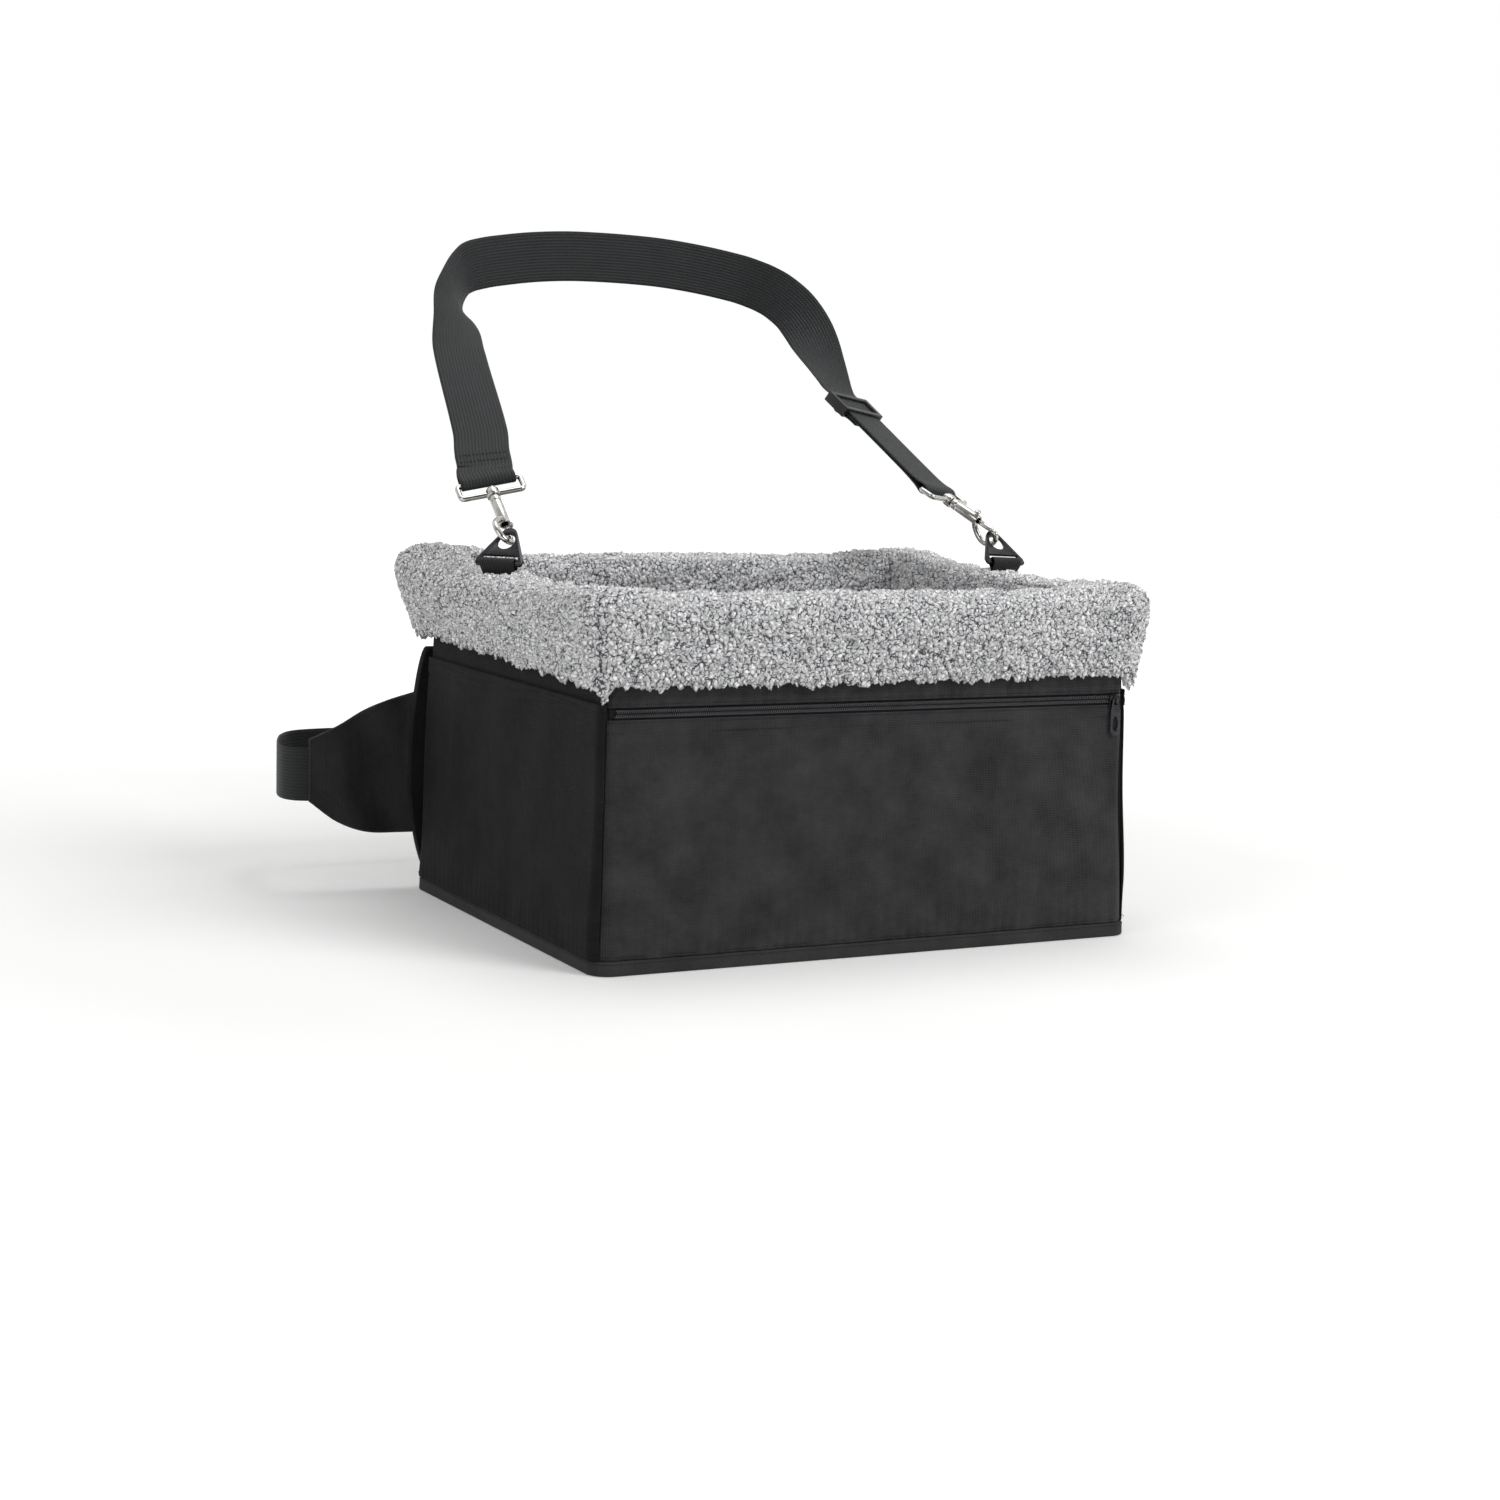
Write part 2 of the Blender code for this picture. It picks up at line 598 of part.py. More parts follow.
# Headrest strap: where it leaves the hooks' line and turns behind the headrest
TURN_X = 0.1505
TURN_Y = 0.262
TURN_Z = 0.451

# Snap hook, in its own frame: local Z runs up the shank to the strap, with its origin
# in the middle of the eye's lower bar, and local X runs towards the gate
EYE_WIRE = 0.0020           # radius of the eye's wire
EYE_INNER_HALF = 0.0212
EYE_HEIGHT = 0.0135         # between the middles of its two long bars
EYE_CORNER = 0.0030
BOSS_RADIUS = 0.0050
BOSS_HALF = 0.0033
PIN_RADIUS = 0.0020
PIN_CLEARANCE = 0.0003
PIN_HEAD_RADIUS = 0.0038
PIN_HEAD_HEIGHT = 0.0018
BARREL_RADIUS = 0.0042
BARREL_LOW = -0.0330
BORE_RADIUS = 0.0025
BORE_TOP = -0.0095
HOOK_WIRE = 0.0024
HOOK_DEPTH = 0.0535         # from the eye's lower bar to the middle of the hook's bend
HOOK_BULGE = 0.0130
HOOK_LOAD_X = -0.0068       # where the ring hangs in the bend
SEAT_OFFSET = 0.0020        # from the middle of the ring's hole to the bend
BOLT_RADIUS = 0.0021
BOLT_TIP = -0.0487
BOLT_TAIL = -0.0235
BOLT_TRAVEL = 0.0085
TIP_GAP = 0.0010            # between the closed bolt and the end of the hook's bend
KNOB_Z = -0.0300
KNOB_PIN_RADIUS = 0.0012
KNOB_RADIUS = 0.0027
KNOB_OUT = 0.0078
KNOB_THICKNESS = 0.0018
SLOT_HALF = 0.0016
SPRING_LENGTH = 0.0042      # as drawn, pressed together
SPRING_WIRE = 0.00030
SPRING_RADIUS = 0.0017
SPRING_TURNS = 5


def ring_outline():
    """A triangle with round corners, as (x, z) points, from its left foot anticlockwise."""
    corners = [(-RING_HALF_BASE, -RING_FOOT, RING_FOOT_RADIUS, 180, 270),
               (RING_HALF_BASE, -RING_FOOT, RING_FOOT_RADIUS, 270, 360)]
    points = []
    for x, z, radius, start, stop in corners:
        centre_x = x - math.copysign(radius, x)
        for step in range(3):
            angle = math.radians(start + (stop - start) * step / 2)
            points.append((centre_x + radius * math.cos(angle),
                           z + radius + radius * math.sin(angle)))
    points.append((RING_HALF_BASE, RING_SHOULDER))
    for step in range(7):
        angle = math.radians(25 + 130 * step / 6)
        points.append((RING_APEX_RADIUS * math.cos(angle),
                       RING_APEX - RING_APEX_RADIUS * (1 - math.sin(angle))))
    points.append((-RING_HALF_BASE, RING_SHOULDER))
    return points


def ellipse(centre_z, half_x, half_z, count):
    return [(half_x * math.cos(2 * math.pi * step / count),
             centre_z + half_z * math.sin(2 * math.pi * step / count)) for step in range(count)]


def ring_mesh(name):
    slot = [(-RING_SLOT_HALF, RING_BAR_TOP), (RING_SLOT_HALF, RING_BAR_TOP),
            (RING_SLOT_HALF, RING_SLOT_TOP), (-RING_SLOT_HALF, RING_SLOT_TOP)]
    hole = ellipse(RING_HOLE_Z, *RING_HOLE_HALF, 16)
    return plate_mesh(name, ring_outline(), [slot, hole], RING_THICKNESS)


def eye_mesh(name):
    """The eye's wire: a long loop with round corners, in local X and Z."""
    half_x = EYE_INNER_HALF + EYE_WIRE
    half_z = EYE_HEIGHT / 2
    flat = round_loop(half_x, half_z, EYE_CORNER, 0.0, steps=3)
    points = [(x, 0.0, y + half_z) for x, y, _ in flat]
    return tube_mesh(name, points, [EYE_WIRE] * len(points), 8, True, (0.0, 1.0, 0.0))


def hook_route():
    """The bend: out of the barrel's side, round below, and back up to the gate line."""
    knots = [(-BARREL_RADIUS / 3, 0.0, BARREL_LOW + 0.34 * HOOK_BULGE),
             (-HOOK_BULGE * 0.50, 0.0, BARREL_LOW + 0.10 * HOOK_BULGE),
             (-HOOK_BULGE * 0.92, 0.0, BARREL_LOW - 0.42 * HOOK_BULGE),
             (-HOOK_BULGE, 0.0, BARREL_LOW - 0.92 * HOOK_BULGE),
             (-HOOK_BULGE * 0.80, 0.0, -HOOK_DEPTH + 0.20 * HOOK_BULGE),
             (HOOK_LOAD_X, 0.0, -HOOK_DEPTH),
             (-HOOK_BULGE * 0.12, 0.0, -HOOK_DEPTH + 0.06 * HOOK_BULGE),
             (0.0, 0.0, BOLT_TIP - TIP_GAP)]
    return smooth_route(knots, 2)


def add_hook(side, frame, eye_frame):
    """One swivel snap hook: eye, hook with its pin and barrel, sliding bolt and spring."""
    eye = add_object(side + "_eye", eye_mesh(side + "_eye"), STEEL, 50)
    boss = turned_mesh(side + "_eye_boss", [(BOSS_RADIUS * 0.8, -BOSS_HALF),
                                            (BOSS_RADIUS, -BOSS_HALF * 0.6),
                                            (BOSS_RADIUS, BOSS_HALF * 0.6),
                                            (BOSS_RADIUS * 0.8, BOSS_HALF)], 14)
    cut(eye, boss, "UNION", eye_frame)
    bore = PIN_RADIUS + PIN_CLEARANCE
    reach = BOSS_HALF + CUT_OVERRUN
    cut(eye, turned_mesh(side + "_eye_bore", [(bore, -reach), (bore, reach)], 14),
        "DIFFERENCE", eye_frame)
    eye.matrix_world = eye_frame

    head_low = BOSS_HALF + FIT_GAP
    barrel_top = -BOSS_HALF - FIT_GAP
    shank = [(PIN_HEAD_RADIUS * 0.7, head_low + PIN_HEAD_HEIGHT),
             (PIN_HEAD_RADIUS, head_low + PIN_HEAD_HEIGHT * 0.5), (PIN_HEAD_RADIUS, head_low),
             (PIN_RADIUS, head_low), (PIN_RADIUS, barrel_top), (BARREL_RADIUS * 0.85, barrel_top),
             (BARREL_RADIUS, barrel_top - CUT_OVERRUN), (BARREL_RADIUS, BARREL_LOW)]
    hook = add_object(side + "_hook", turned_mesh(side + "_hook", shank, 14), STEEL, 40)
    route = hook_route()
    taper = np.linspace(1.0, 0.85, len(route))
    cut(hook, tube_mesh(side + "_hook_bend", route, HOOK_WIRE * taper, 8, False, (0, 1, 0)),
        "UNION", frame)
    barrel_bore = turned_mesh(side + "_barrel_bore", [(BORE_RADIUS, BORE_TOP),
                                                      (BORE_RADIUS, BARREL_LOW - CUT_OVERRUN)], 12)
    cut(hook, barrel_bore, "DIFFERENCE", frame)
    slot_top = KNOB_Z + BOLT_TRAVEL + KNOB_PIN_RADIUS + FIT_GAP
    slot_low = KNOB_Z - KNOB_PIN_RADIUS - FIT_GAP
    cut(hook, box_mesh(side + "_slot", (0.0, -SLOT_HALF, slot_low),
                       (BARREL_RADIUS + CUT_OVERRUN, SLOT_HALF, slot_top)), "DIFFERENCE", frame)
    hook.matrix_world = frame

    bolt = add_object(side + "_bolt", turned_mesh(side + "_bolt", [
        (BOLT_RADIUS, BOLT_TAIL), (BOLT_RADIUS, BOLT_TIP + BOLT_RADIUS / 2),
        (BOLT_RADIUS * 0.7, BOLT_TIP)], 12), STEEL, 40)
    knob = turned_mesh(side + "_knob", [(KNOB_PIN_RADIUS, 0.0),
                                        (KNOB_PIN_RADIUS, KNOB_OUT - KNOB_THICKNESS),
                                        (KNOB_RADIUS, KNOB_OUT - KNOB_THICKNESS),
                                        (KNOB_RADIUS, KNOB_OUT - KNOB_THICKNESS / 3),
                                        (KNOB_RADIUS * 0.6, KNOB_OUT)], 10)
    sideways = Matrix.Translation((0.0, 0.0, KNOB_Z)) @ Matrix.Rotation(math.pi / 2, 4, "Y")
    cut(bolt, knob, "UNION", frame @ sideways)
    bolt.matrix_world = frame

    count = SPRING_TURNS * 8 + 1
    coil_top = BORE_TOP - FIT_GAP - SPRING_WIRE
    points = [(SPRING_RADIUS * math.cos(math.pi * step / 4),
               SPRING_RADIUS * math.sin(math.pi * step / 4),
               coil_top - (SPRING_LENGTH - 2 * SPRING_WIRE) * step / (count - 1))
              for step in range(count)]
    spring = add_object(side + "_hook_spring", tube_mesh(side + "_hook_spring", points,
                        [SPRING_WIRE] * count, 4, False, (0, 0, 1)), STEEL, 60)
    spring.matrix_world = frame


# The pull of the strap and the fleece turn every piece of the chain a little differently.
# Ring: which way it stands, and its bar. Hook: its shank, and which way its gate faces.
# Eye: its long bars. Strap: which way it leaves the eye.
CHAIN = {
    "left": dict(ring_up=(0.489, 0.456, 0.743), ring_bar=(0.682, -0.731, 0.0),
                 hook_up=(0.026, 0.787, 0.617), hook_gate=(0.860, 0.180, -0.480),
                 eye_bar=(0.955, -0.261, 0.141), strap_up=(0.150, 0.768, 0.607)),
    "right": dict(ring_up=(-0.020, 0.700, 0.710), ring_bar=(0.974, 0.193, 0.080),
                  hook_up=(-0.300, 0.850, 0.440), hook_gate=(0.0, -0.557, 0.830),
                  eye_bar=(0.912, 0.389, -0.129), strap_up=(-0.200, 0.800, 0.560)),
}
arms = {}
upright = np.array([0.0, 0.0, 1.0])
for side, sign in (("left", -1), ("right", 1)):
    chain = {key: unit(value) for key, value in CHAIN[side].items()}
    bar = np.array([sign * TAB_X, TAB_Y, TAB_Z])
    ring_up = chain["ring_up"]
    ring_bar = unit(chain["ring_bar"] - np.dot(chain["ring_bar"], ring_up) * ring_up)
    ring = add_object(side + "_ring", ring_mesh(side + "_ring"), BLACK_NICKEL)
    ring.matrix_world = frame_matrix(bar, ring_bar, ring_up)
    hook_up = chain["hook_up"]
    pull = unit(np.dot(hook_up, ring_bar) * ring_bar + np.dot(hook_up, ring_up) * ring_up)
    seat = bar + ring_up * RING_HOLE_Z + pull * SEAT_OFFSET
    gate = unit(chain["hook_gate"] - np.dot(chain["hook_gate"], hook_up) * hook_up)
    origin = seat + hook_up * HOOK_DEPTH - gate * HOOK_LOAD_X
    eye_bar = unit(chain["eye_bar"] - np.dot(chain["eye_bar"], hook_up) * hook_up)
    add_hook(side, frame_matrix(origin, gate, hook_up), frame_matrix(origin, eye_bar, hook_up))
    arms[side] = dict(across=eye_bar, strap=origin + hook_up * EYE_HEIGHT,
                      along=unit(chain["strap_up"] - np.dot(chain["strap_up"], eye_bar) * eye_bar))

    # The tab: up the wall, over the ring's bar and down again, turning as it rises
    bar_reach = math.hypot(RING_THICKNESS / 2, (RING_FOOT + RING_BAR_TOP) / 2)
    loop_radius = bar_reach + FIT_GAP + TAB_THICKNESS / 2
    bar_middle = bar + ring_up * (RING_BAR_TOP - RING_FOOT) / 2
    root = np.array([sign * (half_width(TAB_ROOT_Z) + CUFF_BACKING / 2 + TAB_THICKNESS + FIT_GAP),
                     TAB_Y, TAB_ROOT_Z])
    rest = (TAB_THICKNESS + FIT_GAP) / 2
    rising = []
    twist_share = (TAB_TWIST_LOW - root[2]) / (bar_middle[2] - root[2])
    for share in (0.0, *np.linspace(twist_share, 1.0, TAB_STEPS)):
        z = root[2] + (bar_middle[2] - root[2]) * share
        twist = ease((z - TAB_TWIST_LOW) / (TAB_TWIST_HIGH - TAB_TWIST_LOW))
        centre = root + (bar_middle - root) * np.array([share ** 2, share, share])
        across = twist * ring_bar
        across[1] += (1 - twist) * math.copysign(1.0, ring_bar[1])
        spread = rest + (loop_radius - rest) * ease(1 - (1 - share) / LOOP_SHARE)
        rising.append((centre, unit(across), spread))
    lift = unit(bar_middle - rising[-2][0])
    points, widths = [], []
    for direction, order in ((1, rising), (-1, rising[::-1])):
        for centre, across, spread in order:
            normal = unit(np.cross(across, lift))
            points.append(centre + direction * normal * spread)
            widths.append(across)
        if direction == 1:
            top, across, spread = rising[-1]
            normal = unit(np.cross(across, lift))
            for step in range(1, 6):
                angle = math.pi * step / 6
                points.append(top + spread * (normal * math.cos(angle) + lift * math.sin(angle)))
                widths.append(across)
    ribbon(side + "_tab", points, widths, TAB_WIDTH, TAB_THICKNESS, WEBBING)
    slit = [root - upright * SLIT_GAP, *(entry[0] for entry in rising)]
    slit_widths = [rising[0][1], *(entry[1] for entry in rising)]
    slit_deep = [2 * (spread + SLIT_GAP) + TAB_THICKNESS for _, _, spread in rising]
    cut(cuffs[side], ribbon_mesh(side + "_slit", slit, slit_widths, TAB_WIDTH + 2 * SLIT_GAP,
                                 slit_deep[:1] + slit_deep))

# Strap: from the left eye, behind the headrest, to the right eye and back to its adjuster
STRAP_LOOP = EYE_WIRE + FIT_GAP + WEBBING_THICKNESS / 2
STRAP_REST = LAYER_STEP / 2
SEWN_LENGTH = 0.034
SPREAD_LENGTH = 0.010
ADJUSTER_PLACE = 0.112      # from the right eye up to the adjuster
ADJUSTER_HALF_LENGTH = 0.0120
ADJUSTER_RAIL = 0.0036
ADJUSTER_PLATE = 0.0020
ADJUSTER_BAR = 0.0010       # half the centre bar's thickness
TAIL_LENGTH = 0.024
ARM_SHARE = 0.74            # the part of the left arm that runs flat before it turns
BEHIND_X = 0.1165           # where the strap passes behind the headrest's edge
BEHIND_Y = 0.2985
BEHIND_Z = 0.475
MIDDLE_Y = 0.312
MIDDLE_Z = 0.487


def spread_at(distance):
    """How far a layer lies from the arm's middle line, at a distance from the eye's bar."""
    return STRAP_REST + (STRAP_LOOP - STRAP_REST) * math.exp(-(distance / SPREAD_LENGTH) ** 2)


def arm_point(arm, distance, offset):
    normal = np.cross(arm["across"], arm["along"])
    return arm["strap"] + arm["along"] * distance + normal * offset


left, right = arms["left"], arms["right"]
down = np.array([0.0, 0.0, -1.0])
points, widths = [], []
for distance in np.linspace(SEWN_LENGTH, 0.0, 7):
    points.append(arm_point(left, distance, -spread_at(distance)))
    widths.append(left["across"])
for step in range(1, 6):
    angle = math.pi * step / 6
    points.append(arm_point(left, -STRAP_LOOP * math.sin(angle), -STRAP_LOOP * math.cos(angle)))
    widths.append(left["across"])
for distance in np.linspace(0.0, SEWN_LENGTH, 7):
    points.append(arm_point(left, distance, spread_at(distance)))
    widths.append(left["across"])
sewn_end = arm_point(left, SEWN_LENGTH, STRAP_REST)
left_turn = np.array([-TURN_X, TURN_Y, TURN_Z])
knots = [sewn_end, sewn_end + (left_turn - sewn_end) * ARM_SHARE, left_turn,
         np.array([-BEHIND_X, BEHIND_Y, BEHIND_Z]),
         np.array([0.0, MIDDLE_Y, MIDDLE_Z]), np.array([BEHIND_X, BEHIND_Y, BEHIND_Z]),
         np.array([TURN_X, TURN_Y, TURN_Z]),
         arm_point(right, ADJUSTER_PLACE + 2 * ADJUSTER_HALF_LENGTH, STRAP_REST),
         arm_point(right, ADJUSTER_PLACE + ADJUSTER_HALF_LENGTH, STRAP_REST)]
fold = np.array([0.0, 0.35, -0.90])
key_widths = [left["across"], left["across"], left["across"] * 0.5 + fold, down, down, down,
              fold - right["across"] * 0.5, -right["across"], -right["across"]]
middle = smooth_route(knots, 6)[1:]
for index, point in enumerate(middle):
    place = (index + 1) / 6
    low = min(int(place), len(key_widths) - 2)
    share = place - low
    points.append(point)
    widths.append(unit(key_widths[low] * (1 - share) + key_widths[low + 1] * share))
first = ADJUSTER_PLACE + ADJUSTER_HALF_LENGTH
for distance in np.linspace(first, 0.0, 13)[1:]:
    points.append(arm_point(right, distance, spread_at(distance)))
    widths.append(-right["across"])
for step in range(1, 6):
    angle = math.pi * step / 6
    points.append(arm_point(right, -STRAP_LOOP * math.sin(angle), STRAP_LOOP * math.cos(angle)))
    widths.append(-right["across"])
bar_loop = ADJUSTER_BAR * math.sqrt(2) + FIT_GAP + WEBBING_THICKNESS / 2
bar_offset = -STRAP_REST - FIT_GAP - bar_loop
for distance in np.linspace(0.0, ADJUSTER_PLACE, 13):
    near = max(0.0, (distance - ADJUSTER_PLACE + SPREAD_LENGTH) / SPREAD_LENGTH)
    points.append(arm_point(right, distance, -spread_at(distance) - FIT_GAP * near))
    widths.append(-right["across"])
for step in range(1, 6):
    angle = math.pi * step / 6
    points.append(arm_point(right, ADJUSTER_PLACE + bar_loop * math.sin(angle),
                            bar_offset + bar_loop * math.cos(angle)))
    widths.append(-right["across"])
for distance in np.linspace(0.0, TAIL_LENGTH, 6):
    settle = math.exp(-(distance / SPREAD_LENGTH) ** 2)
    resting = -STRAP_REST - LAYER_STEP
    points.append(arm_point(right, ADJUSTER_PLACE - distance,
                            resting + (bar_offset - bar_loop - resting) * settle))
    widths.append(-right["across"])
ribbon("headrest_strap", points, widths, WEBBING_WIDTH, WEBBING_THICKNESS, WEBBING)

# Adjuster: a moulded slide whose front bars hold the strap and whose rear bar holds its end
half_web = WEBBING_WIDTH / 2 + FIT_GAP * 2
rail_out = half_web + ADJUSTER_RAIL
front_low = STRAP_REST + WEBBING_THICKNESS / 2 + FIT_GAP
front_high = front_low + ADJUSTER_PLATE
rear_low = bar_offset - ADJUSTER_BAR
rear_high = bar_offset + ADJUSTER_BAR
front_bar = ADJUSTER_HALF_LENGTH / 3
adjuster = add_object("strap_adjuster", box_mesh("strap_adjuster",
                      (-rail_out, rear_low, -ADJUSTER_HALF_LENGTH),
                      (rail_out, front_high, ADJUSTER_HALF_LENGTH)), PLASTIC)
place = frame_matrix(arm_point(right, ADJUSTER_PLACE, 0.0), -right["across"], right["along"])
adjuster.matrix_world = place
beyond = ADJUSTER_HALF_LENGTH + CUT_OVERRUN
gaps = [(rear_high, front_low, -beyond, beyond),
        (front_low - CUT_OVERRUN, front_high + CUT_OVERRUN,
         -ADJUSTER_HALF_LENGTH + front_bar, ADJUSTER_HALF_LENGTH - front_bar),
        (rear_low - CUT_OVERRUN, rear_high + CUT_OVERRUN, ADJUSTER_BAR, beyond),
        (rear_low - CUT_OVERRUN, rear_high + CUT_OVERRUN, -beyond, -ADJUSTER_BAR)]
for back, front, low, high in gaps:
    cut(adjuster, box_mesh("adjuster_gap", (-half_web, back, low), (half_web, front, high)),
        "DIFFERENCE", place)

# Wings: shaped flaps sewn to the back pad's edge, which carry the belt
WING_THICKNESS = 0.003
WING_ROOT_LOW = 0.042
WING_ROOT_HIGH = 0.151
WING_TIP_LOW = 0.0665
WING_TIP_HIGH = 0.1135
BELT_Z = 0.0865
# Both plans are measured from the pad's widest point, outwards and back from its face
WING_PLAN = ((-0.0035, -0.0040), (0.0265, -0.0017), (0.0525, 0.0018), (0.0745, 0.0068))
WING_TOP_SHARES = (0.0, 0.34, 0.74, 1.0)
WING_BOTTOM_SHARES = (0.0, 0.03, 0.36, 1.0)
# The belt's route in plan, round the seat's side to its back
BELT_PLAN = ((0.0505, 0.0016), (0.0725, 0.0063), (0.0855, 0.0133), (0.0910, 0.0268),
             (0.0890, 0.0458), (0.0810, 0.0718), (0.0705, 0.0968), (0.0555, 0.1148),
             (0.0315, 0.1218), (0.0065, 0.1218))
BELT_LAP = WING_THICKNESS / 2 + FIT_GAP + WEBBING_THICKNESS / 2
BUCKLE_LADDER_X = 0.046     # where the plug's bar is


def plan_offset(route, distance):
    """A plan route moved sideways, towards the seat, by a distance."""
    tangents = np.gradient(route, axis=0)
    tangents /= np.linalg.norm(tangents, axis=1)[:, None]
    return route + distance * np.stack([-tangents[:, 1], tangents[:, 0]], axis=1)


pad_corner = np.array([PAD_HALF_WIDTH, PAD_FACE_Y])
wing_route = smooth_route([pad_corner + point for point in WING_PLAN], 3)
for side, sign in (("left", -1), ("right", 1)):
    faces = []
    for shift in (-WING_THICKNESS / 2, WING_THICKNESS / 2):
        shifted = plan_offset(wing_route, shift)
        rows = []
        for index, (x, y) in enumerate(shifted):
            place = index / (len(shifted) - 1) * (len(WING_PLAN) - 1)
            top_share = np.interp(place, range(len(WING_PLAN)), WING_TOP_SHARES)
            bottom_share = np.interp(place, range(len(WING_PLAN)), WING_BOTTOM_SHARES)
            top = WING_ROOT_HIGH + (WING_TIP_HIGH - WING_ROOT_HIGH) * top_share
            bottom = WING_ROOT_LOW + (WING_TIP_LOW - WING_ROOT_LOW) * bottom_share
            heights = [bottom + (top - bottom) * share for share in (0, 0.25, 0.5, 0.75, 1)]
            if index == 0:
                rows.append([(sign * (pad_half_width((z - PAD_LOW) / (PAD_HIGH - PAD_LOW)) + FIT_GAP),
                              y, z) for z in heights])
            else:
                rows.append([(sign * x, y, z) for z in heights])
        faces.append(np.array(rows))
    add_object(side + "_wing", slab(side + "_wing", *faces), SIDE_OXFORD, 40)

# Belt: each half runs round the seat to the buckle behind it. The left one goes round the
# plug's bar and back, so its length can be set
BELT_RETURN = 0.105
BAR_HALF = 0.0014           # half the thickness of the buckle's bars
BELT_LOOP = BAR_HALF * math.sqrt(2) + FIT_GAP + WEBBING_THICKNESS / 2
belt_route = plan_offset(smooth_route([pad_corner + point for point in BELT_PLAN], 3), BELT_LAP)
back_y = float(belt_route[-1][1])
for side, sign in (("left", -1), ("right", 1)):
    points = [(sign * x, y, BELT_Z) for x, y in belt_route]
    return_length = BELT_RETURN if side == "left" else SEWN_LENGTH
    start = BUCKLE_LADDER_X + return_length
    for x in np.linspace(start, BUCKLE_LADDER_X, 8):
        widen = math.exp(-((x - BUCKLE_LADDER_X) / SPREAD_LENGTH) ** 2)
        points.append((sign * x, back_y - (BELT_LOOP - STRAP_REST) * widen, BELT_Z))
    centre_y = back_y + STRAP_REST
    for step in range(1, 6):
        angle = math.pi * step / 6
        points.append((sign * (BUCKLE_LADDER_X - BELT_LOOP * math.sin(angle)),
                       centre_y - BELT_LOOP * math.cos(angle), BELT_Z))
    for x in np.linspace(BUCKLE_LADDER_X, start, 8):
        widen = math.exp(-((x - BUCKLE_LADDER_X) / SPREAD_LENGTH) ** 2)
        points.append((sign * x, back_y + LAYER_STEP + (BELT_LOOP - STRAP_REST) * widen, BELT_Z))
    ribbon(side + "_belt", points, [upright] * len(points), WEBBING_WIDTH, WEBBING_THICKNESS,
           WEBBING, 1)
BUCKLE_Y = back_y + STRAP_REST

# Buckle: a side-release buckle. The plug's two prongs are pressed together to open it
BUCKLE_HALF_WIDTH = 0.0265
BUCKLE_HALF_THICK = 0.0062
BUCKLE_WALL = 0.0018
SOCKET_MOUTH_X = -0.012     # the socket runs from here to the right
SOCKET_END_X = 0.052
PLUG_END_X = -0.052
PLUG_FACE_X = -0.0125
WEB_SLOT = 0.0060           # each gap beside a bar
PRONG_WIDTH = 0.0062
PRONG_HALF_THICK = 0.0028
PRONG_Z = 0.0175            # from the buckle's middle line to the prong's
BUTTON_PROUD = 0.0020
WINDOW_NEAR = 0.0060        # the side windows, measured in from the socket's mouth
WINDOW_FAR = 0.0255
SWING_GAP = 0.0009          # lets the button's corner turn inwards past the window's end
TONGUE_HALF = 0.0035
TONGUE_LENGTH = 0.026
CAVITY_LENGTH = 0.0400


def buckle_box(name, x_low, x_high, half_thick, z_low, z_high):
    return box_mesh(name, (x_low, BUCKLE_Y - half_thick, BELT_Z + z_low),
                    (x_high, BUCKLE_Y + half_thick, BELT_Z + z_high))


def web_slots(piece, sign, end_x):
    """Cuts the two gaps either side of the bar that the webbing goes round."""
    half = WEBBING_WIDTH / 2 + FIT_GAP * 2
    deep = BUCKLE_HALF_THICK + CUT_OVERRUN
    inner_edges = sorted((sign * (BUCKLE_LADDER_X - BAR_HALF),
                          sign * (BUCKLE_LADDER_X - BAR_HALF - WEB_SLOT)))
    outer_edges = sorted((sign * (BUCKLE_LADDER_X + BAR_HALF), end_x + sign * CUT_OVERRUN))
    cut(piece, buckle_box("inner_slot", *inner_edges, deep, -half, half))
    cut(piece, buckle_box("outer_slot", *outer_edges, deep, -half, half))
    shave = BUCKLE_HALF_THICK - BAR_HALF
    edges = sorted((sign * (BUCKLE_LADDER_X - BAR_HALF - FIT_GAP),
                    sign * (BUCKLE_LADDER_X + BAR_HALF + FIT_GAP)))
    for low, high in ((BUCKLE_Y + BAR_HALF, BUCKLE_Y + BAR_HALF + shave + CUT_OVERRUN),
                      (BUCKLE_Y - BAR_HALF - shave - CUT_OVERRUN, BUCKLE_Y - BAR_HALF)):
        cut(piece, box_mesh("bar_shave", (edges[0], low, BELT_Z - half),
                            (edges[1], high, BELT_Z + half)))


socket = add_object("buckle_socket", buckle_box("buckle_socket", SOCKET_MOUTH_X, SOCKET_END_X,
                    BUCKLE_HALF_THICK, -BUCKLE_HALF_WIDTH, BUCKLE_HALF_WIDTH), PLASTIC)
cavity_half = PRONG_HALF_THICK + FIT_GAP * 2
cavity_z = BUCKLE_HALF_WIDTH - BUCKLE_WALL
cut(socket, buckle_box("socket_cavity", SOCKET_MOUTH_X - CUT_OVERRUN,
                       SOCKET_MOUTH_X + CAVITY_LENGTH, cavity_half, -cavity_z, cavity_z))
cut(socket, buckle_box("socket_windows", SOCKET_MOUTH_X + WINDOW_NEAR, SOCKET_MOUTH_X + WINDOW_FAR,
                       cavity_half, -BUCKLE_HALF_WIDTH - CUT_OVERRUN,
                       BUCKLE_HALF_WIDTH + CUT_OVERRUN))
web_slots(socket, 1, SOCKET_END_X)

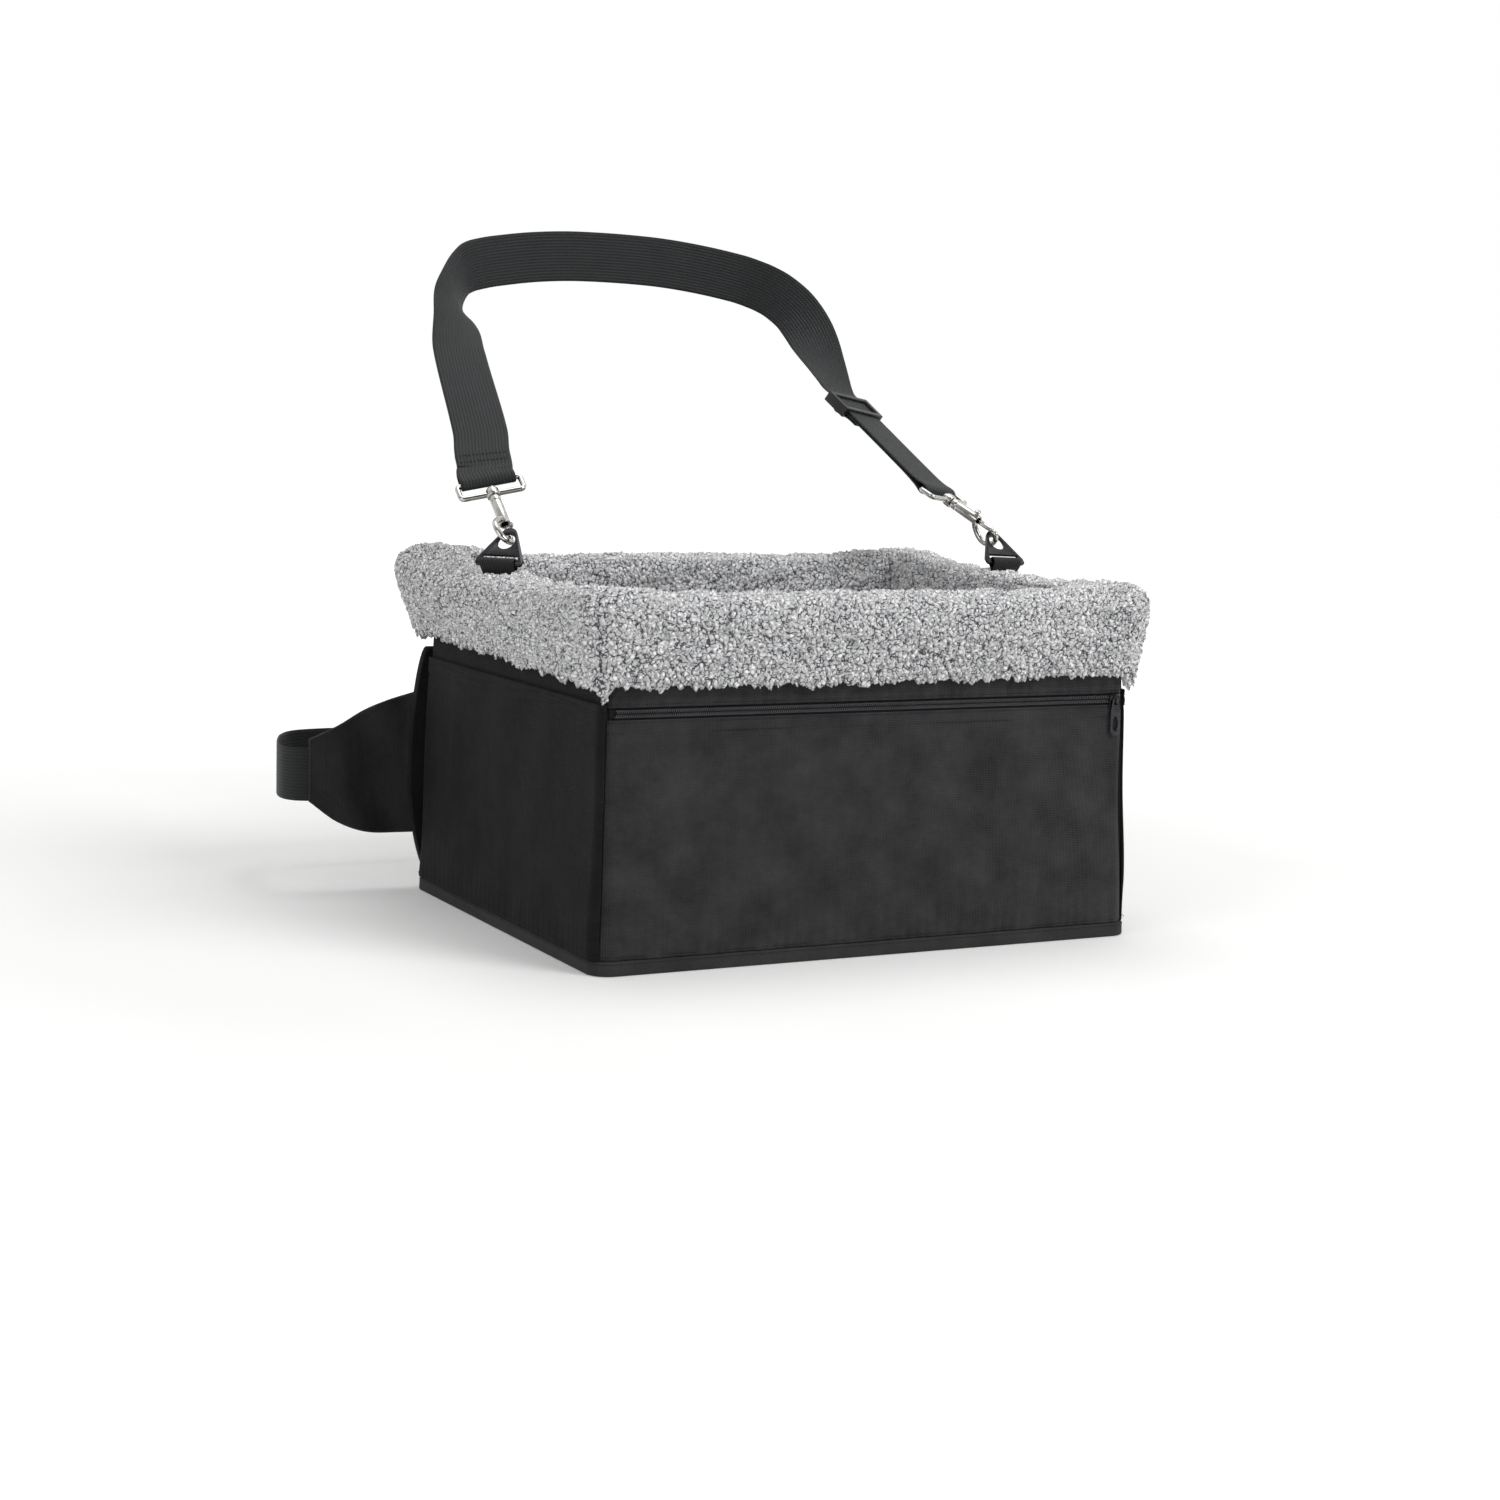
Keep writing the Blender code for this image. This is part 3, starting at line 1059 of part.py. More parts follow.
plug = add_object("buckle_plug", buckle_box("buckle_plug", PLUG_END_X, PLUG_FACE_X,
                  BUCKLE_HALF_THICK, -BUCKLE_HALF_WIDTH, BUCKLE_HALF_WIDTH), PLASTIC)
cut(plug, buckle_box("plug_tongue", PLUG_FACE_X - CUT_OVERRUN, PLUG_FACE_X + TONGUE_LENGTH,
                     PRONG_HALF_THICK, -TONGUE_HALF, TONGUE_HALF), "UNION")
web_slots(plug, -1, PLUG_END_X)

# Each prong bends where it springs from the plug, with its button in the side window
PRONG_HINGE_X = PLUG_FACE_X + FIT_GAP + PRONG_WIDTH / 2
WINDOW_NEAR_X = SOCKET_MOUTH_X + WINDOW_NEAR
WINDOW_FAR_X = SOCKET_MOUTH_X + WINDOW_FAR
for name, sign in (("buckle_prong_upper", 1), ("buckle_prong_lower", -1)):
    inner = PRONG_Z - PRONG_WIDTH / 2
    outer = PRONG_Z + PRONG_WIDTH / 2
    button = BUCKLE_HALF_WIDTH + BUTTON_PROUD
    outline = [(PRONG_HINGE_X - PRONG_WIDTH / 2 * math.sin(angle),
                PRONG_Z + PRONG_WIDTH / 2 * math.cos(angle))
               for angle in np.linspace(0, math.pi, 7)]
    outline += [(WINDOW_FAR_X - PRONG_WIDTH / 2, inner),
                (WINDOW_FAR_X - SWING_GAP, outer),
                (WINDOW_FAR_X - SWING_GAP, button - BUTTON_PROUD),
                (WINDOW_FAR_X - PRONG_WIDTH / 2, button), (WINDOW_NEAR_X + PRONG_WIDTH, button),
                (WINDOW_NEAR_X + FIT_GAP * 2, outer)]
    loops = [np.array([(x, BUCKLE_Y + side_y * PRONG_HALF_THICK, BELT_Z + sign * z)
                       for x, z in outline]) for side_y in (-1, 1)]
    add_object(name, loft(name, loops), PLASTIC)

# Keeper: a slide that holds the belt's loose end against the belt
KEEPER_X = -0.120
KEEPER_HALF_LENGTH = 0.005
KEEPER_WALL = 0.0018
keeper_half_z = WEBBING_WIDTH / 2 + FIT_GAP * 2
keeper_half_y = LAYER_STEP / 2 + WEBBING_THICKNESS / 2 + FIT_GAP * 2
keeper = add_object("belt_keeper", box_mesh(
    "belt_keeper",
    (KEEPER_X - KEEPER_HALF_LENGTH, BUCKLE_Y - keeper_half_y - KEEPER_WALL,
     BELT_Z - keeper_half_z - KEEPER_WALL),
    (KEEPER_X + KEEPER_HALF_LENGTH, BUCKLE_Y + keeper_half_y + KEEPER_WALL,
     BELT_Z + keeper_half_z + KEEPER_WALL)), PLASTIC)
cut(keeper, box_mesh("keeper_window",
                     (KEEPER_X - KEEPER_HALF_LENGTH - CUT_OVERRUN, BUCKLE_Y - keeper_half_y,
                      BELT_Z - keeper_half_z),
                     (KEEPER_X + KEEPER_HALF_LENGTH + CUT_OVERRUN, BUCKLE_Y + keeper_half_y,
                      BELT_Z + keeper_half_z)))

# Zip slider: front and back plates joined by the post between the two rows
SLIDER_END = 0.0030         # from the zip's end to the slider, with the zip closed
SLIDER_X = ZIP_HALF - SLIDER_END
SLIDER_HALF_LENGTH = 0.0042
SLIDER_HALF_HEIGHT = 0.0038
SLIDER_PLATE = 0.0011
SLIDER_POST_HALF = 0.0004
SLIDER_POST_LENGTH = 0.0060
zip_front = -half_depth(ZIP_Z) + TAPE_DEPTH + TAPE_THICKNESS - COIL_DEPTH
zip_back = -half_depth(ZIP_Z) + TAPE_DEPTH + TAPE_THICKNESS
front_out = -half_depth(ZIP_Z) - FIT_GAP - SLIDER_PLATE
slider = add_object("zip_slider", box_mesh(
    "zip_slider", (SLIDER_X - SLIDER_HALF_LENGTH, front_out, ZIP_Z - SLIDER_HALF_HEIGHT),
    (SLIDER_X + SLIDER_HALF_LENGTH, front_out + SLIDER_PLATE, ZIP_Z + SLIDER_HALF_HEIGHT)),
    BLACK_NICKEL)
rear_face = zip_back + FIT_GAP * 2
cut(slider, box_mesh("slider_back", (SLIDER_X - SLIDER_HALF_LENGTH, rear_face,
                                     ZIP_Z - SLIDER_HALF_HEIGHT),
                     (SLIDER_X + SLIDER_HALF_LENGTH, rear_face + SLIDER_PLATE,
                      ZIP_Z + SLIDER_HALF_HEIGHT)), "UNION")
cut(slider, box_mesh("slider_post", (SLIDER_X - SLIDER_POST_LENGTH / 2, front_out + SLIDER_PLATE / 2,
                                     ZIP_Z - SLIDER_POST_HALF),
                     (SLIDER_X + SLIDER_POST_LENGTH / 2, rear_face + SLIDER_PLATE / 2,
                      ZIP_Z + SLIDER_POST_HALF)), "UNION")

# Puller: a long tab whose top bar is held under the slider's bridge
BRIDGE_HALF = 0.0008
BRIDGE_WALL = 0.0008
BRIDGE_REACH = 0.0021       # inside height, from the slider's plate
BRIDGE_HALF_SPAN = 0.0021   # inside, up and down from the bar
PULL_LENGTH = 0.026
PULL_HALF_WIDTH = 0.0041
PULL_NECK = 0.0028          # half its width at the bar
PULL_THICKNESS = 0.0012
PULL_HOLE_HALF = 0.0014     # the hole that the bridge passes through
PULL_HOLE_LOW = 0.0042
PULL_GRIP = (0.0021, 0.0052)
pull_y = front_out - BRIDGE_REACH / 2
bridge_out = front_out - BRIDGE_REACH - BRIDGE_WALL
bridge_span = BRIDGE_HALF_SPAN + BRIDGE_WALL
cut(slider, box_mesh("bridge", (SLIDER_X - BRIDGE_HALF, bridge_out, ZIP_Z - bridge_span),
                     (SLIDER_X + BRIDGE_HALF, front_out + SLIDER_PLATE / 2,
                      ZIP_Z + bridge_span)), "UNION")
cut(slider, box_mesh("bridge_window", (SLIDER_X - BRIDGE_HALF * 2, bridge_out + BRIDGE_WALL,
                                       ZIP_Z - BRIDGE_HALF_SPAN),
                     (SLIDER_X + BRIDGE_HALF * 2, front_out, ZIP_Z + BRIDGE_HALF_SPAN)))


def pull_outline():
    """A long tab with a round foot, in local X and Z, hanging from its bar at the origin."""
    points = [(-PULL_NECK, PULL_THICKNESS / 2), (-PULL_HALF_WIDTH, -PULL_LENGTH / 3)]
    for step in range(9):
        angle = math.pi * (1 + step / 8)
        points.append((PULL_HALF_WIDTH * math.cos(angle),
                       PULL_HALF_WIDTH - PULL_LENGTH + PULL_HALF_WIDTH * math.sin(angle)))
    points += [(PULL_HALF_WIDTH, -PULL_LENGTH / 3), (PULL_NECK, PULL_THICKNESS / 2)]
    return points


bridge_hole = [(-PULL_HOLE_HALF, -PULL_HOLE_LOW), (PULL_HOLE_HALF, -PULL_HOLE_LOW),
               (PULL_HOLE_HALF, -PULL_THICKNESS / 2), (-PULL_HOLE_HALF, -PULL_THICKNESS / 2)]
grip_hole = ellipse(-PULL_LENGTH * 0.66, *PULL_GRIP, 12)
puller = add_object("zip_puller", plate_mesh("zip_puller", pull_outline(),
                                             [bridge_hole, grip_hole], PULL_THICKNESS),
                    BLACK_NICKEL)
puller.location = (SLIDER_X, pull_y, ZIP_Z)
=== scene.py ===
import bmesh
import bpy
import numpy as np
from mathutils import Matrix, Vector


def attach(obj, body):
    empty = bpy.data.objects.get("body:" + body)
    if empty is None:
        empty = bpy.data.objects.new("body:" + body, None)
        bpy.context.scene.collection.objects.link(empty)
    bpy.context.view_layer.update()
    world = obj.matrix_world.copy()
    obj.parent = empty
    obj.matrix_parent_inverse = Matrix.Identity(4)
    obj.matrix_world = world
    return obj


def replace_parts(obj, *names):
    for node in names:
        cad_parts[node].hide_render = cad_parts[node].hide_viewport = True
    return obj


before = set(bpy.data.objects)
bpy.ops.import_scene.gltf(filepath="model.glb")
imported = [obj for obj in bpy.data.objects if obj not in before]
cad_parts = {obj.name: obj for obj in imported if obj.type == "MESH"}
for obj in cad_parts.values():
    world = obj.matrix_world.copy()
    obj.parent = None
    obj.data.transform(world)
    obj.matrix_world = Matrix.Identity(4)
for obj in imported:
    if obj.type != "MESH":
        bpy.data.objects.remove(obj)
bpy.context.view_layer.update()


# Base. A bottom of coated oxford with grosgrain binding tape sewn over its edge, 10 mm high.
# The tape covers the raw lower edges of the walls, so it stands 0.8 mm proud of them.

half_width, half_depth = 0.203, 0.160   # the box across its walls, at the cuffs' lower edge
cuff_edge = 0.187                       # height of that edge
side_splay, end_splay = 0.0068, 0.0085  # how much further out the walls stand at the floor
top_radius, least_radius = 0.007, 0.0012   # the box's upright corners, which double at the floor


def linear(code):
    """A colour written as sRGB hex, as the four linear numbers that a shader takes."""
    share = np.array([int(code[i:i + 2], 16) for i in (1, 3, 5)]) / 255
    return (*np.where(share <= 0.04045, share / 12.92, ((share + 0.055) / 1.055) ** 2.4), 1.0)


def add(tree, kind, inputs=(), **settings):
    """Adds a node with its settings. inputs maps a socket to a value or to what links to it."""
    node = tree.nodes.new(kind)
    for key, value in settings.items():
        setattr(node, key, value)
    for key, value in dict(inputs).items():
        if isinstance(value, bpy.types.NodeSocket):
            tree.links.new(value, node.inputs[key])
        else:
            node.inputs[key].default_value = value
    return node


def new_finish(name, **sockets):
    """A material with one Principled shader and its constants set on the shader's sockets."""
    made = bpy.data.materials.new(name)
    made.use_nodes = True
    shader = made.node_tree.nodes["Principled BSDF"]
    for key, value in sockets.items():
        shader.inputs[key.replace("_", " ")].default_value = value
    return made, made.node_tree, shader


def woven(name, dark, light, pitch, relief, roughness, sheen, gloss):
    """Plain-weave cloth on a UV map in metres. Two sine waves at right angles, multiplied, make
    the over-and-under of the yarns, pitch apart; slow noise shifts the shade between dark and
    light and lays faint creases, and fine noise stands for the yarn's own fuzz."""
    made, tree, shader = new_finish(name, Roughness=roughness, Sheen_Weight=sheen,
                                    Sheen_Roughness=0.5, Specular_IOR_Level=gloss)
    place = add(tree, "ShaderNodeUVMap", uv_map="UVMap").outputs[0]
    bands = [add(tree, "ShaderNodeTexWave", {"Vector": place, "Scale": 0.314159 / pitch,
                                             "Distortion": 0.6, "Detail": 0.0},
                 bands_direction=way).outputs["Fac"] for way in "XY"]
    yarn = add(tree, "ShaderNodeMath", {0: bands[0], 1: bands[1]}, operation="MULTIPLY").outputs[0]
    slow = add(tree, "ShaderNodeTexNoise", {"Vector": place, "Scale": 28.0, "Detail": 4.0,
                                            "Roughness": 0.62}).outputs["Fac"]
    fine = add(tree, "ShaderNodeTexNoise", {"Vector": place, "Scale": 1400.0,
                                            "Detail": 1.0}).outputs["Fac"]
    blend = add(tree, "ShaderNodeMath", {0: yarn, 1: 0.35, 2: slow}, operation="MULTIPLY_ADD")
    tone = add(tree, "ShaderNodeMapRange", {"Value": blend.outputs[0], "From Min": 0.32,
                                            "From Max": 0.98}).outputs["Result"]
    colour = add(tree, "ShaderNodeMix", {"Factor": tone, "A": linear(dark), "B": linear(light)},
                 data_type="RGBA").outputs["Result"]
    tree.links.new(colour, shader.inputs["Base Color"])
    weave = add(tree, "ShaderNodeBump", {"Height": yarn, "Strength": relief,
                                         "Distance": 0.0004}).outputs[0]
    fuzz = add(tree, "ShaderNodeBump", {"Height": fine, "Strength": 0.3, "Distance": 0.0003,
                                        "Normal": weave}).outputs[0]
    crease = add(tree, "ShaderNodeBump", {"Height": slow, "Strength": 0.45, "Distance": 0.004,
                                          "Normal": fuzz}).outputs[0]
    tree.links.new(crease, shader.inputs["Normal"])
    return made


# Polyester grosgrain: a dense black ribbed tape, duller than the oxford. Its ribs are 0.9 mm.
grosgrain = woven("polyester_grosgrain", "#29292a", "#404041", 0.0009, 0.5, 0.75, 0.05, 0.15)


def wall(side, place, height, depth, gap=0.00015):
    """Points of one wall's layer. From place -1 to 1 they lie on the flat, height up and depth in
    from its face; on to -2 or 2, round the corner to the seam. A wall leans out in a straight
    line, from no lean at the cuff's edge to its whole splay at the floor. Half the gap between
    two walls' layers at the seam is gap."""
    place, height, depth = np.broadcast_arrays(place, height, depth)
    lean = 1 - height / cuff_edge
    half = half_width + side_splay * lean, half_depth + end_splay * lean
    across, out = half if side in ("front", "back") else half[::-1]
    radius = np.maximum(top_radius + top_radius * np.maximum(lean, 0) - depth, least_radius)
    flat = across - depth - radius
    angle = np.clip(np.abs(place) - 1, 0, 1) * (np.pi / 4 - gap / radius)
    along = np.sign(place) * (np.minimum(np.abs(place), 1) * flat + radius * np.sin(angle))
    away = out - depth - radius + radius * np.cos(angle)
    x, y = {"front": (along, -away), "right": (away, along),
            "back": (-along, away), "left": (-away, -along)}[side]
    return np.stack([x, y, height], axis=-1)


def surface(name, points, uv, finish, slot, body, *nodes, pile=None, capped=False, level=0):
    """A piece from a grid of points, rows by columns. Rows and columns that meet are merged, open
    ends are filled where it is capped, and faces are turned outwards. uv is in metres."""
    rows, columns = points.shape[:2]
    index = np.arange(rows * columns).reshape(rows, columns)
    quads = np.stack([index[:-1, :-1], index[:-1, 1:], index[1:, 1:], index[1:, :-1]],
                     axis=-1).reshape(-1, 4)
    mesh = bpy.data.meshes.new(name)
    mesh.vertices.add(rows * columns)
    mesh.vertices.foreach_set("co", points.astype(np.float32).ravel())
    mesh.loops.add(quads.size)
    mesh.loops.foreach_set("vertex_index", quads.astype(np.int32).ravel())
    mesh.polygons.add(len(quads))
    mesh.polygons.foreach_set("loop_start", np.arange(0, quads.size, 4, dtype=np.int32))
    mesh.polygons.foreach_set("use_smooth", np.ones(len(quads), bool))
    mesh.update(calc_edges=True)
    layer = mesh.uv_layers.new(name="UVMap")
    layer.data.foreach_set("uv", uv.reshape(-1, 2)[quads].astype(np.float32).ravel())
    if pile is not None:
        values = mesh.attributes.new("pile", "FLOAT", "POINT")
        values.data.foreach_set("value", pile.astype(np.float32).ravel())
    work = bmesh.new()
    work.from_mesh(mesh)
    bmesh.ops.remove_doubles(work, verts=work.verts, dist=0.000002)
    if capped:
        bmesh.ops.holes_fill(work, edges=[e for e in work.edges if e.is_boundary], sides=0)
    bmesh.ops.recalc_face_normals(work, faces=work.faces)
    work.to_mesh(mesh)
    work.free()
    return settle(bpy.data.objects.new(name, mesh), finish, slot, body, *nodes, level=level)


def settle(piece, finish, slot, body, *nodes, level=0):
    """Links a finished piece, gives it its finish, and has it ride on its body for its nodes."""
    bpy.context.scene.collection.objects.link(piece)
    piece.data.materials.clear()
    piece.data.materials.append(finish)
    if level:
        rounding = piece.modifiers.new("rounding", "SUBSURF")
        rounding.levels = rounding.render_levels = level
    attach(piece, body)
    if nodes:
        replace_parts(piece, *nodes)
    return piece


def places(flat, corner):
    """Places along a whole wall from seam to seam: flat of them on each half, then the corner."""
    half = np.concatenate([np.linspace(0, 1, flat, endpoint=False), np.linspace(1, 2, corner + 1)])
    return np.concatenate([-half[:0:-1], half])


sides = ("front", "right", "back", "left")
# The base's section, from the middle of the underside out, up the tape and back in over it
tape = np.array([(-0.0002, 0.0), (-0.0008, 0.0008), (-0.0008, 0.0030), (-0.0008, 0.0070),
                 (-0.0008, 0.0092), (-0.0002, 0.0100), (0.0055, 0.0100), (0.0059, 0.0022)])
rim = np.array([np.concatenate([wall(side, places(16, 8)[:-1], z, d) for side in sides])
                for d, z in tape])
rim = np.concatenate([rim, rim[:, :1]], axis=1)
share = np.array([0.0, 0.5, 0.97])[:, None, None]
under = rim[:1] * np.array([1, 1, 0]) * share
floor = rim[-1:] * (1 - share) * np.array([1, 1, 0]) + np.array([0, 0, 0.0020])
floor[0] = rim[-1] * np.array([1, 1, 0]) + np.array([0, 0, 0.0020])
points = np.concatenate([under, rim, floor, floor[-1:] * np.array([0, 0, 1])])
step = np.linalg.norm(np.diff(rim[2], axis=0), axis=1)
around = np.concatenate([[0], np.cumsum(step)])
up = np.concatenate([[0], np.cumsum(np.linalg.norm(np.diff(points, axis=0), axis=2)[:, 0])])
uv = np.stack(np.broadcast_arrays(around[None, :], up[:, None]), axis=-1)
surface("base", points, uv, grosgrain, "binding", "seat_body", "base_panel", level=1)


# Stitching. Bonded polyester thread in a lockstitch, 3 mm long, which sinks into the cloth at
# both ends of every stitch. The same thread sews all the panels, hems, straps and wings.

# Bonded thread: black and slightly waxy, so each stitch catches a small highlight.
thread = new_finish("bonded_polyester_thread", Base_Color=linear("#131314"), Roughness=0.5,
                    Specular_IOR_Level=0.25)
twist = add(thread[1], "ShaderNodeTexWave", {
    "Vector": add(thread[1], "ShaderNodeTexCoord").outputs["Object"], "Scale": 420.0,
    "Distortion": 2.0}, bands_direction="DIAGONAL")
thread[1].links.new(add(thread[1], "ShaderNodeBump", {
    "Height": twist.outputs["Fac"], "Strength": 0.4, "Distance": 0.0002}).outputs[0],
    thread[2].inputs["Normal"])


def along(route, count):
    """A route of points, taken at equal steps of its length; count includes both ends."""
    length = np.concatenate([[0], np.cumsum(np.linalg.norm(np.diff(route[:, :3], axis=0), axis=1))])
    want = np.linspace(0, length[-1], count)
    return np.stack([np.interp(want, length, route[:, axis]) for axis in range(route.shape[1])],
                    axis=1), length[-1]


def stitches(name, body, *lines):
    """Every stitch of some seams as one piece. A line is a route of six numbers, the place and
    the way out of the cloth. A stitch is a bar 2.5 mm long of six sides and five rings: halfway
    along it stands 0.31 mm out and is 0.54 mm wide, both falling as a half cosine to its ends."""
    pitch, half_stitch, thread_radius = 0.0030, 0.00125, 0.00027
    rise, sunk = 0.00022, 0.00018
    turn = np.linspace(0, 2 * np.pi, 6, endpoint=False)
    run = np.array([-1.0, -0.55, 0.0, 0.55, 1.0])
    bulge = np.cos(run * np.pi / 2) * 0.85 + 0.15
    blocks = []
    for route in lines:
        _, length = along(route, 2)
        spots, _ = along(route, max(3, 2 * int(length / pitch) + 1))
        ahead = np.gradient(spots[:, :3], axis=0)
        ahead /= np.linalg.norm(ahead, axis=1)[:, None]
        out = spots[:, 3:] / np.linalg.norm(spots[:, 3:], axis=1)[:, None]
        here, ahead, out = spots[1::2, :3], ahead[1::2], out[1::2]
        aside = np.cross(ahead, out)
        blocks.append(here[:, None, None]
                      + ahead[:, None, None] * (run * half_stitch)[:, None, None]
                      + (aside[:, None, None] * np.cos(turn)[:, None]
                         + out[:, None, None] * np.sin(turn)[:, None])
                      * (bulge * thread_radius)[:, None, None]
                      + out[:, None, None] * (bulge * rise - sunk)[:, None, None])
    bars = np.concatenate(blocks)
    count = len(bars)
    index = np.arange(30).reshape(5, 6)
    after = np.roll(index, -1, axis=1)
    quads = np.stack([index[:-1], after[:-1], after[1:], index[1:]], axis=-1).reshape(-1, 4)
    quads = np.concatenate([quads, [[0, 5, 4, 3], [0, 3, 2, 1],
                                    [24, 25, 26, 27], [24, 27, 28, 29]]])
    faces = (quads[None] + 30 * np.arange(count)[:, None, None]).reshape(-1, 4)
    mesh = bpy.data.meshes.new(name)
    mesh.from_pydata(bars.reshape(-1, 3), [], faces)
    mesh.shade_smooth()
    work = bmesh.new()
    work.from_mesh(mesh)
    bmesh.ops.recalc_face_normals(work, faces=work.faces)
    work.to_mesh(mesh)
    work.free()
    return settle(bpy.data.objects.new(name, mesh), thread[0], "binding", body)


def wall_seam(side, height, depth):
    """A seam along a wall at one height, as a route of places and outward directions."""
    place = np.linspace(-2, 2, 160)
    route = wall(side, place, height, depth)
    return np.concatenate([route, route - wall(side, place, height, depth + 0.001)], axis=1)


stitches("base_stitches", "seat_body", *(wall_seam(side, 0.0082, -0.0009) for side in sides))


# Stiffeners. Sheets of 3 mm corrugated polypropylene in the four walls and a 4 mm board in the
# base keep the box upright. They lie loose between the shell and the lining, out of sight.

# Corrugated polypropylene: milky grey with flutes 4 mm apart and a waxy sheen.
board = new_finish("corrugated_polypropylene", Base_Color=linear("#7b7b78"), Roughness=0.5)
flutes = add(board[1], "ShaderNodeTexWave", {
    "Vector": add(board[1], "ShaderNodeTexCoord").outputs["Object"], "Scale": 78.5},
    bands_direction="Z")
board[1].links.new(add(board[1], "ShaderNodeBump", {
    "Height": flutes.outputs["Fac"], "Strength": 0.4, "Distance": 0.0005}).outputs[0],
    board[2].inputs["Normal"])
for name in ("base_board", "front_board", "right_board", "back_board", "left_board"):
    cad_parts[name].data.materials.clear()
    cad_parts[name].data.materials.append(board[0])


# Shell. Panels of 600-denier oxford, 1.5 mm thick with their lining, joined at the corners by
# seams that draw the cloth in a little. The front is a pocket panel below a zip, a narrow band
# above it, and a plain wall behind; each side wall carries a patch pocket with a 12 mm hem.

# 600D polyester oxford: matt near-black with a soft grey bloom where light grazes the yarns.
# Its yarns are 0.45 mm apart, drawn at 1.2 mm so that they show.
front_oxford = woven("polyester_oxford", "#18181a", "#404041", 0.0012, 0.8, 0.78, 0.10, 0.20)
# The same cloth on the sides and back, with its colours darkened as painted shade.
side_oxford = woven("polyester_oxford_side", "#0f0f10", "#232324", 0.0012, 0.7, 0.80, 0.04, 0.10)
foot, wall_top = 0.0103, 0.227                    # where the panels start and end
pocket_top, band_low, patch_top = 0.1665, 0.1747, 0.177
pocket_rows, band_rows, patch_rows = (0.1650, 0.1580), (0.1765, 0.1822), (0.1730, 0.1662)
puller_reach = 0.1405                             # how low the zip's puller hangs, with room


def waves(u, v, spacing, seed):
    """Soft rises and dips in loose cloth, from about -1 to 1: the sum of eight sine waves with
    seeded directions and lengths round spacing, divided by the root of their number."""
    strew = np.random.default_rng(seed)
    angle = strew.uniform(0, np.pi, 8)
    size = spacing * strew.uniform(0.6, 1.7, 8)
    phase = strew.uniform(0, 2 * np.pi, 8)
    ray = (u[..., None] * np.cos(angle) + v[..., None] * np.sin(angle)) / size * 2 * np.pi + phase
    return np.sin(ray).sum(-1) / np.sqrt(8)


def panel(name, side, low, high, outer, thick, finish, slot, *nodes, sag=0.0008, hem=0.0,
          seed=1, gather=1.0, sewn=(), clear=None):
    """One wall's cloth as a closed slab. Its outer face runs up from low to high at a depth of
    outer, less the hem's 0.8 mm over the top hem metres, and its inner face runs down again.
    Both are moved together by soft waves of height sag, by puckers 9 mm apart that fade within
    20 mm of the lower seam, by 0.7 mm inwards at the corner seams over 3 mm, and by 0.5 mm
    along each row of stitches at the heights sewn, over 1.6 mm. Above the height clear the cloth
    is pulled flat by the zip and bulges no more than 0.35 mm, so the puller passes over it."""
    face = np.linspace(low + 0.0006, high - 0.0006, max(8, int((high - low) / 0.0013)))
    back = face[::-4]
    height = np.concatenate([[low], face, [high, high], back, [low, low]])
    into = np.concatenate([[thick * 0.3], np.zeros(len(face)), [thick * 0.3, thick * 0.8],
                           np.full(len(back), thick), [thick, thick * 0.3]])
    along_it = places(110, 9)
    place, height = np.meshgrid(along_it, height)
    u = wall(side, along_it, 0.1, 0.0)[:, 0 if side in ("front", "back") else 1]
    u = np.broadcast_to(u, place.shape)
    lower = np.exp(-np.maximum(height - low, 0) / 0.020)
    fade = np.clip((high - height) / 0.02, 0, 1) * np.clip((height - low) / 0.03, 0, 1)
    pucker = np.sin(u / 0.009 * 2 * np.pi + 2.5 * waves(u, height * 0.3, 0.06, seed + 7))
    depth = outer + into[:, None] - sag * fade * waves(u, height * 0.8, 0.085, seed)
    depth -= 0.35 * sag * waves(u, height * 0.22, 0.028, seed + 3) * (0.4 + lower)
    depth += gather * 0.00028 * pucker * lower
    if clear:
        flat = outer + into[:, None]
        bulge = 0.00035 + 0.003 * np.clip((clear - height) / 0.012, 0, 1)
        depth = flat + np.maximum(depth - flat, -bulge)
    depth += 0.0007 * np.exp(-((2 - np.abs(place)) * 6 / 3) ** 2)
    for seam in sewn:
        wander = seam + 0.0006 * waves(u, 0 * u, 0.09, seed + 5)
        depth += 0.0005 * np.exp(-((height - wander) / 0.0016) ** 2) * (into[:, None] < thick * 0.9)
    if hem:
        fold = np.clip((height - (high - hem)) / 0.0008, 0, 1)
        depth -= 0.0008 * fold * fold * (3 - 2 * fold) * (into[:, None] < thick * 0.9)
    return surface(name, wall(side, place, height, depth), np.stack([u, height], axis=-1),
                   finish, slot, "seat_body", *nodes, capped=True)


